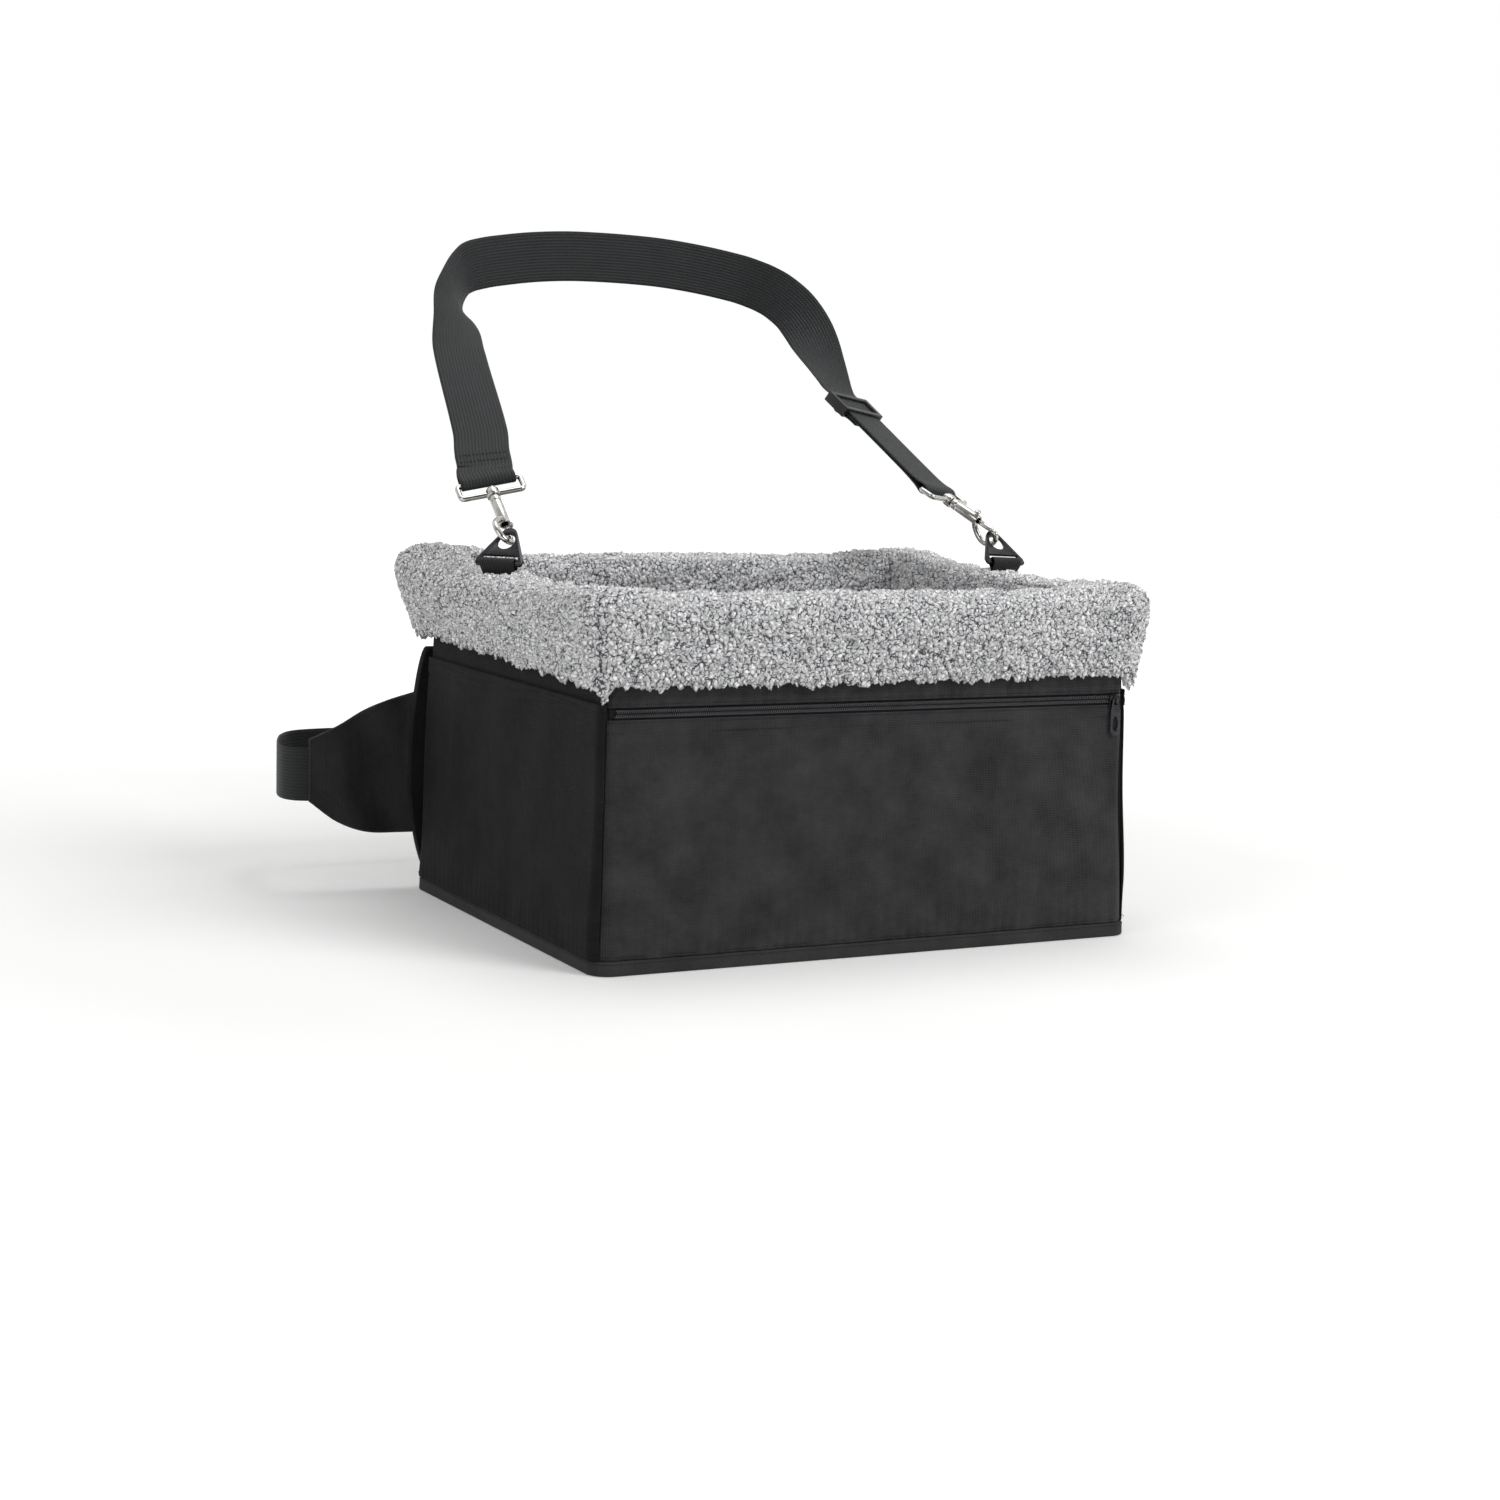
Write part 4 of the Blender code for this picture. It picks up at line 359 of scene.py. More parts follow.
pocket = panel("front_pocket", "front", foot, pocket_top, 0.0, 0.0015, front_oxford, "oxford",
               "front_pocket_panel", sag=0.0010, seed=4, sewn=pocket_rows, clear=puller_reach)
panel("front_band", "front", band_low, wall_top, 0.0, 0.0015, front_oxford, "oxford",
      "front_top_band", sag=0.0003, seed=9, sewn=band_rows)
panel("front_inner_wall", "front", foot, wall_top, 0.0046, 0.0015, front_oxford, "oxford",
      "front_wall", sag=0.0003, seed=12)
# The left, right and back walls, the side pockets and the back pad take the side cloth, darkened as
# painted shade
for seed, side in enumerate(("left", "right", "back"), 21):
    panel(side + "_wall", side, foot, wall_top, 0.0, 0.0061, side_oxford, "side_oxford",
          "back_panel" if side == "back" else side + "_side_panel", sag=0.0002, seed=seed)
for seed, side in enumerate(("left", "right"), 31):
    patch = panel(side + "_pocket", side, foot, patch_top, -0.0018, 0.0014, side_oxford,
                  "side_oxford", side + "_side_pocket", sag=-0.0007, hem=0.012, seed=seed,
                  gather=0.5, sewn=patch_rows)
    stitches(side + "_pocket_stitches", "seat_body",
             *(wall_seam(side, row, -0.0023) for row in patch_rows),
             wall_seam(side, 0.0130, -0.0020))
stitches("front_stitches", "seat_body",
         *(wall_seam("front", row, 0.0003) for row in (*pocket_rows, band_rows[0])),
         wall_seam("front", 0.0125, -0.0001))


# Zip. A nylon coil zip: a wire wound to a flat spring along the edge of each woven tape, whose
# turns lock between each other's. It runs the whole width of the front, sewn behind both hems.

# Woven polyester zip tape: flat black, with a fine rib 0.8 mm apart.
zip_tape = woven("polyester_zip_tape", "#101011", "#1a1a1b", 0.0008, 0.4, 0.8, 0.03, 0.12)
# Monofilament nylon: the wire is dark grey and smooth, so every turn carries a bright glint.
nylon = new_finish("monofilament_nylon", Base_Color=linear("#46464a"), Roughness=0.28,
                   Specular_IOR_Level=0.6)
grey = add(nylon[1], "ShaderNodeTexNoise", {
    "Vector": add(nylon[1], "ShaderNodeTexCoord").outputs["Object"], "Scale": 60.0})
nylon[1].links.new(add(nylon[1], "ShaderNodeMix", {
    "Factor": grey.outputs["Fac"], "A": linear("#3c3c40"), "B": linear("#626266")},
    data_type="RGBA").outputs["Result"], nylon[2].inputs["Base Color"])
zip_z, zip_half = 0.1706, 0.1950


def tube(route, radius, ring, closed=False):
    """A round rod along a route: at each point a circle of ring sides stands across the route,
    set out from the axis that the route follows least. A closed rod joins its ends, and an open
    one closes to a point at both."""
    ahead = (np.roll(route, -1, axis=0) - np.roll(route, 1, axis=0)) if closed \
        else np.gradient(route, axis=0)
    ahead /= np.linalg.norm(ahead, axis=1)[:, None]
    least = np.eye(3)[np.argmin(np.abs(ahead).max(axis=0))]
    aside = np.cross(ahead, least)
    aside /= np.linalg.norm(aside, axis=1)[:, None]
    other = np.cross(ahead, aside)
    turn = np.linspace(0, 2 * np.pi, ring + 1)
    circle = aside[:, None] * np.cos(turn)[:, None] + other[:, None] * np.sin(turn)[:, None]
    skin = route[:, None] + circle * np.broadcast_to(radius, len(route))[:, None, None]
    if closed:
        return np.concatenate([skin, skin[:1]])
    ends = [np.repeat(route[end][None, None], ring + 1, axis=1) for end in (0, -1)]
    return np.concatenate([ends[0], skin, ends[1]])


def flat_uv(points):
    """A UV map in metres from the lengths along the rows and down the columns of a grid."""
    down = np.linalg.norm(np.diff(points, axis=0), axis=2).mean(axis=1)
    over = np.linalg.norm(np.diff(points, axis=1), axis=2).mean(axis=0)
    down, over = (np.concatenate([[0], np.cumsum(part)]) for part in (down, over))
    return np.stack(np.meshgrid(over, down), axis=-1)


for name, sign in (("upper", 1), ("lower", -1)):
    z = zip_z + sign * np.array([0.0010, 0.0108, 0.0108, 0.0010, 0.0010])
    into = np.array([0.0018, 0.0018, 0.0024, 0.0024, 0.0018])
    x = np.linspace(-zip_half, zip_half, 60)
    points = wall("front", 0.0, z[:, None], into[:, None]) + np.stack(
        [x, 0 * x, 0 * x], axis=-1)[None]
    surface(f"zip_{name}_band", points, flat_uv(points), zip_tape, "zip_nylon", "seat_body",
            capped=True)
    # The coil: an oval helix, 1.5 mm a turn, whose inner side just reaches the middle. The two
    # coils are half a turn apart, give or take 0.01 mm, so that their turns alternate.
    turn = np.arange(0, 2 * zip_half / 0.0015, 0.1) * 2 * np.pi
    route = np.stack([-zip_half + turn / (2 * np.pi) * 0.0015 + sign * 0.00037,
                      -0.1608 + 0.00120 + 0.00075 * np.cos(turn),
                      zip_z + sign * (0.0014 + 0.00112 * np.sin(turn))], axis=1)
    points = tube(route, 0.00029, 5)
    surface(f"zip_{name}_coil", points, flat_uv(points), nylon[0], "zip_nylon", "seat_body",
            f"zip_{name}_tape")


# Slider and puller. Die-cast zinc, black-plated: two plates joined by a post between the coils,
# a bridge on the front plate, and a stamped pull tab with an oval hole that swings under it.

# Black nickel over zinc or steel: nearly black metal with sharp highlights. Handling rubs its
# edges brighter, and faint plating marks vary the gloss every few millimetres.
black_nickel, tree, shader = new_finish("black_nickel_plate", Metallic=1.0)
place = add(tree, "ShaderNodeTexCoord").outputs["Object"]
rub = add(tree, "ShaderNodeTexNoise", {"Vector": place, "Scale": 340.0,
                                       "Detail": 3.0}).outputs["Fac"]
tree.links.new(add(tree, "ShaderNodeMapRange", {
    "Value": rub, "From Min": 0.3, "From Max": 0.7, "To Min": 0.20, "To Max": 0.34}).outputs[0],
    shader.inputs["Roughness"])
tree.links.new(add(tree, "ShaderNodeMix", {
    "Factor": rub, "A": linear("#2b2b2d"), "B": linear("#4a4a4d")},
    data_type="RGBA").outputs["Result"], shader.inputs["Base Color"])


def dressed(node, finish, slot, body, edge):
    """A rigid node's own mesh, copied and merged, with its edges rounded to a width of edge."""
    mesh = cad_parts[node].data.copy()
    work = bmesh.new()
    work.from_mesh(mesh)
    bmesh.ops.remove_doubles(work, verts=work.verts, dist=0.000001)
    bmesh.ops.dissolve_limit(work, angle_limit=0.01, verts=work.verts, edges=work.edges)
    work.to_mesh(mesh)
    work.free()
    mesh.shade_smooth()
    piece = settle(bpy.data.objects.new(node + "_finished", mesh), finish, slot, body, node)
    bevel = piece.modifiers.new("rounding", "BEVEL")
    bevel.width, bevel.segments, bevel.angle_limit = edge, 2, 0.55
    bevel.limit_method, bevel.harden_normals = "ANGLE", True
    bevel.use_clamp_overlap = True
    return piece


dressed("zip_slider", black_nickel, "black_nickel", "slider", 0.00025)
dressed("zip_puller", black_nickel, "black_nickel", "puller", 0.00025)


# Fleece. Polyester sherpa: a knitted base whose pile is curled into soft clumps 3 to 5 mm wide,
# with dark crevices between. It lines the walls and floor, covers the loose cushion, and is
# turned over the top of the walls as a thick cuff.

# Sherpa fleece: warm grey. Its colour carries painted light and shade: a bluish dark grey in the
# crevices and near white on the clumps' tops, over the real relief. The pile is fuzzy, so it
# scatters light at grazing angles and has no gloss. "pile" is 0 in a crevice and 1 on top of a
# clump, and sets both the relief and the painted shade.
sherpa, tree, shader = new_finish("polyester_sherpa", Roughness=0.95, Sheen_Weight=0.12,
                                  Sheen_Roughness=0.6, Specular_IOR_Level=0.1)
place = add(tree, "ShaderNodeTexCoord").outputs["Object"]
pile = add(tree, "ShaderNodeAttribute", attribute_name="pile").outputs["Fac"]
fibre = add(tree, "ShaderNodeTexNoise", {"Vector": place, "Scale": 900.0, "Detail": 3.0,
                                         "Roughness": 0.65}).outputs["Fac"]
patch = add(tree, "ShaderNodeTexNoise", {"Vector": place, "Scale": 55.0,
                                         "Detail": 2.0}).outputs["Fac"]
warp = add(tree, "ShaderNodeTexNoise", {"Vector": place, "Scale": 240.0,
                                        "Detail": 1.0}).outputs["Color"]
warp = add(tree, "ShaderNodeVectorMath", {0: warp, 1: (0.003, 0.003, 0.003), 2: place},
           operation="MULTIPLY_ADD").outputs["Vector"]
# tuft falls to 0 at its cells' edges: it bumps the clumps and paints shade into the crevices
# between them
tuft = add(tree, "ShaderNodeTexVoronoi", {"Vector": warp, "Scale": 330.0},
           feature="DISTANCE_TO_EDGE").outputs["Distance"]
tuft = add(tree, "ShaderNodeMapRange", {"Value": tuft, "From Max": 0.17},
           interpolation_type="SMOOTHSTEP").outputs[0]
tone = pile  # each layer of the pattern is added to the pile's own height, by its share
for layer, part in ((tuft, 0.42), (fibre, 0.42), (patch, 0.22)):
    tone = add(tree, "ShaderNodeMath", {0: layer, 1: part, 2: tone},
               operation="MULTIPLY_ADD").outputs[0]
tone = add(tree, "ShaderNodeMapRange", {"Value": tone, "From Min": 0.86,
                                        "From Max": 1.42}).outputs[0]
# The ramp is painted shade and light: dark bluish grey where the tone is low in the crevices, near
# white on the tops
shades = add(tree, "ShaderNodeValToRGB", {"Fac": tone})
for spot, code in ((0.0, "#65656a"), (0.3, "#a4a4a9"), (0.58, "#d2d2d5"), (1.0, "#fbfbfc")):
    stop = shades.color_ramp.elements.new(spot) if 0 < spot < 1 else \
        shades.color_ramp.elements[int(spot)]
    stop.color = linear(code)
tree.links.new(shades.outputs["Color"], shader.inputs["Base Color"])
fuzz = add(tree, "ShaderNodeBump", {"Height": fibre, "Strength": 0.6,
                                    "Distance": 0.0006}).outputs[0]
tree.links.new(add(tree, "ShaderNodeBump", {"Height": tuft, "Strength": 0.85, "Distance": 0.0011,
                                            "Normal": fuzz}).outputs[0], shader.inputs["Normal"])


def domes(points, size, seed):
    """Rounded clumps packed in space, from 0 in the creases to 1 on top, round seeded centres,
    one strewn in every cell of a grid size apart. 45% is one less the squared distance to the
    nearest centre, and 55% rises from each crease as the next centre gets 0.42 further away."""
    strew = np.random.default_rng(seed).random((24, 24, 24, 3)).astype(np.float32)
    cell = (points / size).astype(np.float32)
    home = np.floor(cell).astype(int)
    near = np.full(points.shape[:-1], 9.0, np.float32)
    after = near.copy()
    for step in np.ndindex(3, 3, 3):
        corner = home + (np.array(step) - 1)
        centre = corner + strew[tuple(np.moveaxis(corner % 24, -1, 0))]
        far = ((cell - centre) ** 2).sum(-1)
        near, after = np.minimum(near, far), np.minimum(after, np.maximum(near, far))
    apart = np.clip((np.sqrt(after) - np.sqrt(near)) / 0.42, 0, 1)
    return 0.45 * np.clip(1 - near, 0, 1) + 0.55 * apart * apart * (3 - 2 * apart)


def curls(points, seed):
    """Sherpa pile: clumps 4.4 mm apart with tighter curls 2.1 mm apart on them, both twisted by
    moving the points 1.3 mm back and forth every 8 to 13 mm, and a quarter longer upright."""
    points = points * np.array([1.0, 1.0, 0.78])
    swirl = 0.0013 * np.sin(points[..., [1, 2, 0]] * 740 + points[..., [2, 0, 1]] * 480 + seed)
    return (0.66 * domes(points + swirl, 0.0044, seed)
            + 0.34 * domes(points - swirl, 0.0021, seed + 1))


def outward(points, away_from):
    """Unit normals of a grid, turned to point away from a reference grid inside it."""
    normal = np.cross(np.gradient(points, axis=0), np.gradient(points, axis=1))
    normal /= np.maximum(np.linalg.norm(normal, axis=-1), 1e-12)[..., None]
    facing = np.sign(((points - away_from) * normal).sum(-1).mean())
    return normal * facing


def curve(knots, at):
    """A smooth curve through knots, at the given places counted in knots. Between two it is the
    Hermite cubic that leaves and arrives along its neighbours' chord with the gap's length."""
    slope = np.gradient(knots, axis=0)
    slope /= np.linalg.norm(slope, axis=-1, keepdims=True)
    low = np.clip(at.astype(int), 0, len(knots) - 2)
    t = (at - low).reshape((-1,) + (1,) * (knots.ndim - 1))
    gap = np.linalg.norm(knots[low + 1] - knots[low], axis=-1, keepdims=True)
    return ((2 * t ** 3 - 3 * t ** 2 + 1) * knots[low] + (3 * t ** 2 - 2 * t ** 3) * knots[low + 1]
            + gap * ((t ** 3 - 2 * t ** 2 + t) * slope[low] + (t ** 3 - t ** 2) * slope[low + 1]))


def even(knots, count):
    """Places along a curve, counted in knots, that are equally far apart along its length."""
    fine = np.linspace(0, len(knots) - 1, 40 * len(knots))
    length = np.linalg.norm(np.diff(curve(knots, fine), axis=0), axis=-1)
    while length.ndim > 1:
        length = length.mean(axis=-1)
    length = np.concatenate([[0], np.cumsum(length)])
    return np.interp(np.linspace(0, length[-1], count), length, fine)


def smoothstep(share):
    """0 up to a share of 0, 1 from a share of 1, and a smooth S between: 3 s^2 - 2 s^3."""
    share = np.clip(share, 0, 1)
    return share * share * (3 - 2 * share)


# Wall linings: fleece on 3 mm foam between the floor and the cuffs, pile to the inside
for seed, side in enumerate(sides, 41):
    height = np.linspace(0.0112, 0.1864, 88)
    place, height = np.meshgrid(places(88, 2), height)
    face = wall(side, place, height, 0.0137)
    stand = curls(face, seed)
    depth = 0.0128 + 0.0026 * stand
    face = wall(side, place, height, depth, -0.0003)
    back = wall(side, place, height[::-1], 0.0097, -0.0003)
    points = np.concatenate([face, back, face[:1]])
    stand = np.concatenate([stand, stand[::-1] * 0, stand[:1]])
    surface(side + "_lining", points, flat_uv(points), sherpa, "fleece", "seat_body",
            "liner_" + side, pile=stand, capped=True)

# Floor lining, under the cushion
u, v = np.meshgrid(np.linspace(-1, 1, 130), np.linspace(-1, 1, 100))
top = np.stack([u * 0.1972, v * 0.1562, 0 * u + 0.0102], axis=-1)
stand = curls(top, 51)
top[..., 2] = 0.0096 + 0.0012 * stand
rim_fall = np.maximum(np.abs(u), np.abs(v)) > 0.999
top[..., 2] = np.where(rim_fall, 0.0068, top[..., 2])
under = top[::-1] * np.array([1, 1, 0]) + np.array([0, 0, 0.0067])
points = np.concatenate([top, under, top[:1]])
surface("floor_lining", points, flat_uv(points), sherpa, "fleece", "seat_body", "liner_floor",
        pile=np.concatenate([stand, stand[::-1] * 0, stand[:1]]), capped=True)

# Seat cushion. A loose pad of fibre in a sherpa cover, sewn along a seam round its edge. It is
# crowned, its sides draw in 6 mm between the corners, and it lies flat on the floor.
line = np.sin(np.linspace(-1, 1, 190) * np.pi / 2)
other = np.sin(np.linspace(-1, 1, 150) * np.pi / 2)
u, v = np.meshgrid(line, other)
x = u * np.sqrt(1 - 0.1648 * v ** 8 * u ** 2) * (0.1815 - 0.006 * (1 - v ** 2))
y = v * np.sqrt(1 - 0.1648 * u ** 8 * v ** 2) * (0.1375 - 0.006 * (1 - u ** 2))
crown = ((1 - u ** 6) * (1 - v ** 6)) ** 0.45
dimple = 0.0016 * waves(x, y, 0.11, 61) * crown
top = np.stack([x, y, 0.0109 + 0.0151 + 0.0262 * crown + dimple], axis=-1)
low = np.stack([x, y, 0.0112 + 0.0148 * (1 - np.minimum(1, crown * 1.6))], axis=-1)
stand = curls(top, 62)
rise = outward(top, top - np.array([0, 0, 0.01]))
top = top + rise * (0.0022 * (stand - 0.55) * np.minimum(1, crown * 2))[..., None]
points = np.concatenate([top, low[::-1], top[:1]])
cushion = surface("cushion_cover", points, flat_uv(points), sherpa, "fleece", "cushion",
                  "seat_cushion", pile=np.concatenate([stand, stand[::-1] * 0.6, stand[:1]]),
                  capped=True)


# Cuffs. The lining's fleece turned over the top of each wall and caught down outside, so it
# stands out as a fat roll with a ragged lower edge. The four are sewn together at the corners,
# where the seam pulls a thin groove into the pile, darkened further by painted shade.
crest_rise = 0.060  # from the lower edge to the crest
outer_shares = np.array([(0.60, 0.22), (0.84, 0.48), (1.00, 0.76), (0.86, 0.92), (0.40, 0.995)])
inner_shares = np.array([(0.25, 0.985), (0.80, 0.89), (1.00, 0.74), (0.90, 0.42), (0.66, 0.12)])
for seed, (side, curl) in enumerate(zip(sides, (1.0, 0.95, 0.9, 0.85)), 71):
    along_it = places(196 if side in ("front", "back") else 152, 20)
    corner = np.maximum(np.abs(along_it) - 1, 0)
    rear = smoothstep(0.5 + wall(side, along_it, cuff_edge, 0.0)[:, 1] / (2 * half_depth))
    swell = 1 + 0.60 * rear * (smoothstep(corner) if side in ("front", "back") else 1)
    spot = wall(side, along_it, cuff_edge, 0.0)
    by_tab = np.hypot(np.abs(spot[:, 0]) - half_width, spot[:, 1] - 0.012)
    lift = 0.0030 * rear ** 2 + 0.0022 * np.exp(-(by_tab / 0.020) ** 2) + sum(
        height * np.exp(-(np.hypot(spot[:, 0] - x, spot[:, 1] - y) / reach) ** 2)
        for height, x, y, reach in ((0.0110, -0.21, 0.165, 0.050), (0.0075, 0.21, 0.165, 0.060),
                                    (0.0050, 0.21, -0.165, 0.060), (0.0050, -0.21, -0.165, 0.045),
                                    (0.0030, 0.0, 0.165, 0.120)))
    drop = 0.0090 * corner ** 1.5 * (1 - 0.4 * rear) - 0.0015 - 0.0085 * rear
    keys = [(0 * swell - 0.0006, cuff_edge - drop), (-0.0070 * swell, cuff_edge - drop)]
    keys += [(-0.0195 * swell * out,
              cuff_edge - drop * (1 - rise) ** 2 + (crest_rise + lift) * rise)
             for out, rise in outer_shares]
    keys += [(0 * swell + 0.0097 + 0.0085 * inward, cuff_edge + (crest_rise + lift) * rise)
             for inward, rise in inner_shares]
    keys += [(0 * swell + 0.0140, cuff_edge + 0 * swell),
             (0 * swell + 0.0100, cuff_edge + 0 * swell)]
    keys = np.stack([np.stack(key, axis=-1) for key in keys])
    section = curve(keys, even(keys, 178))
    skin = wall(side, along_it[None], section[..., 1], section[..., 0], 0.00003)
    core = wall(side, along_it, 0.222, 0.006)[None]
    out = outward(skin, core)
    run = np.linspace(0, 1, len(skin))[:, None]
    free = smoothstep(run / 0.02) * smoothstep((1 - run) / 0.02)
    to_seam = (2 - np.abs(along_it))[None] * 0.018
    groove = np.exp(-(to_seam / 0.0011) ** 2)
    stand = curls(skin, 71)
    roll = waves(run * 0.18 + 0 * along_it,
                 np.cumsum(np.full(len(along_it), 0.001))[None] + 0 * run,
                 0.030, seed + 9) * (1 - smoothstep(corner))
    reach = 0.0049 * curl * (stand - 0.58) + 0.0011 * roll - 0.0008 * groove
    if side == "left":
        reach = reach - 0.0035 * np.exp(-((skin[..., 1] - 0.033) / 0.026) ** 2
                                        - ((skin[..., 2] - 0.234) / 0.0045) ** 2)
    ragged = np.exp(-((run - 0.045) / 0.03) ** 2)
    hang = ragged * 0.0064 * (domes(skin * np.array([1, 1, 0.2]), 0.0052, 76) - 0.58)
    skin = skin + out * (reach * free)[..., None] - np.array([0, 0, 1]) * (hang * free)[..., None]
    hidden = wall(side, along_it[None], np.array([[0.2273], [0.2273]]),
                  np.array([[0.0100], [-0.0006]]))
    points = np.concatenate([skin, hidden, skin[:1]])
    # The pile's tone drops by up to 45% along the corner seams: painted shade in the groove
    stand = stand * (1 - 0.45 * groove)
    stand = np.concatenate([stand, stand[:2] * 0, stand[:1]])
    surface(side + "_cuff_fleece", points, flat_uv(points), sherpa, "fleece", "seat_body",
            side + "_cuff", pile=stand, capped=True)


# Webbing. Black tabs of 26 mm tape come up through the side cuffs and fold over the rings. The
# long upper strap is 40 mm wide and 1.6 mm thick, sewn back on itself at the left hook, and runs
# in one wide loop to the right hook and back to a slide that sets its length.

def ribbed(name, dark, light, rib):
    """Webbing on a UV map in metres. A sine wave makes the lengthwise ribs, rib apart, and a
    slanting one the twill; their product and half of a slow noise mix dark and light."""
    made, tree, shader = new_finish(name, Roughness=0.62, Sheen_Weight=0.06, Sheen_Roughness=0.4,
                                    Specular_IOR_Level=0.25)
    place = add(tree, "ShaderNodeUVMap", uv_map="UVMap").outputs[0]
    ridge = add(tree, "ShaderNodeTexWave", {"Vector": place, "Scale": 0.314159 / rib,
                                            "Distortion": 0.15}, bands_direction="X").outputs["Fac"]
    twill = add(tree, "ShaderNodeTexWave", {"Vector": place, "Scale": 0.314159 / 0.0012,
                                            "Distortion": 0.4},
                bands_direction="DIAGONAL").outputs["Fac"]
    slow = add(tree, "ShaderNodeTexNoise", {"Vector": place, "Scale": 60.0,
                                            "Detail": 4.0}).outputs["Fac"]
    mix = add(tree, "ShaderNodeMath", {0: twill, 1: ridge}, operation="MULTIPLY").outputs[0]
    mix = add(tree, "ShaderNodeMath", {0: slow, 1: 0.5, 2: mix},
              operation="MULTIPLY_ADD").outputs[0]
    tree.links.new(add(tree, "ShaderNodeMix", {
        "Factor": mix, "A": linear(dark), "B": linear(light)},
        data_type="RGBA").outputs["Result"], shader.inputs["Base Color"])
    first = add(tree, "ShaderNodeBump", {"Height": ridge, "Strength": 0.8,
                                         "Distance": 0.0005}).outputs[0]
    tree.links.new(add(tree, "ShaderNodeBump", {
        "Height": twill, "Strength": 0.5, "Distance": 0.0002, "Normal": first}).outputs[0],
        shader.inputs["Normal"])
    return made


# Polyester webbing: charcoal, woven in lengthwise ribs 2.4 mm apart crossed by a fine twill,
# with a soft gloss along the ribs. The twill's yarns are 0.6 mm apart, drawn at 1.2 mm.
webbing = ribbed("polyester_webbing", "#17191a", "#303233", 0.0024)
# Nylon tape for the tabs: blacker, with finer ribs 1.7 mm apart.
tab_tape = ribbed("nylon_tape", "#101011", "#262628", 0.0017)


def strap(name, route, width, thick, finish, body, node, spacing=0.0015):
    """Webbing along a route of places and ways across it, in millimetres. Its section is a
    flat oblong with 19 columns whose selvedges are round: thickness falls over the last 4%.
    The ways across are averaged over 15 steps, so that the webbing turns without a kink."""
    route = np.array(route, float)
    at = even(route[:, :3] / 1000, max(12, int(np.linalg.norm(
        np.diff(route[:, :3], axis=0), axis=1).sum() / 1000 / spacing)))
    middle = curve(route[:, :3] / 1000, at)
    across = np.stack([np.interp(at, np.arange(len(route)), route[:, 3 + axis])
                       for axis in range(3)], axis=1)
    ease = np.pad(across, ((7, 7), (0, 0)), mode="edge")
    across = sum(ease[start:start + len(across)] for start in range(15)) / 15
    ahead = np.gradient(middle, axis=0)
    ahead /= np.linalg.norm(ahead, axis=1)[:, None]
    across -= (across * ahead).sum(1)[:, None] * ahead
    across /= np.linalg.norm(across, axis=1)[:, None]
    normal = np.cross(ahead, across)
    line = np.concatenate([[-1, -0.985], np.linspace(-0.96, 0.96, 15), [0.985, 1]])
    full = np.clip((1 - np.abs(line)) / 0.04, 0.0, 1) ** 0.5
    place = np.concatenate([line, line[::-1], line[:1]])
    face = np.concatenate([full, -full, full[:1]])
    skin = (middle[:, None] + across[:, None] * (place * width / 2)[:, None]
            + normal[:, None] * (face * thick / 2)[:, None])
    length = np.concatenate([[0], np.cumsum(np.linalg.norm(np.diff(middle, axis=0), axis=1))])
    uv = np.stack(np.broadcast_arrays(place[None] * width / 2, length[:, None]), axis=-1)
    surface(name, skin, uv, finish, "webbing", body, node, capped=True)
    return middle, across, normal


def cross_seam(middle, across, normal, index, half, lift):
    """A seam across webbing at one point of its route, on the side that lift points to."""
    run = np.linspace(-half, half, 20)[:, None]
    route = middle[index] + across[index] * run + normal[index] * lift
    way = np.repeat(normal[index:index + 1] * np.sign(lift), 20, axis=0)
    return np.concatenate([route, way], axis=1)


left_tab = [(-205.1, 12, 199.9, 0, -1, 0), (-206.1, 12, 227.5, 0, -1, 0),
            (-207.8, 11.5, 246.7, 0.58, -0.81, 0), (-210.9, 9.8, 256.1, 0.68, -0.73, 0),
            (-209, 12, 259.6, 0.68, -0.73, 0), (-206.2, 14.1, 256.8, 0.68, -0.73, 0),
            (-206.7, 12.7, 249.3, 0.64, -0.77, 0), (-204.6, 12, 227.7, 0, -1, 0),
            (-203.6, 12, 200.1, 0, -1, 0)]
right_tab = [(205.1, 12, 199.9, 0, 1, 0), (206.1, 12, 227.5, 0, 1, 0),
             (207.7, 10.8, 249.2, 0.99, 0.17, -0.04), (208.7, 8.7, 256.4, 1, 0.07, -0.04),
             (209, 11.9, 259.6, 1, 0.07, -0.04), (208.3, 15.2, 256.5, 1, 0.07, -0.04),
             (207.3, 13.1, 249.3, 0.99, 0.17, -0.04), (204.8, 12, 230.1, 0.02, 1, 0),
             (203.6, 12, 200.1, 0, 1, 0)]
strap("left_tab_tape", left_tab, 0.026, 0.0012, tab_tape, "seat_body", "left_tab", 0.0006)
strap("right_tab_tape", right_tab, 0.026, 0.0012, tab_tape, "seat_body", "right_tab", 0.0006)

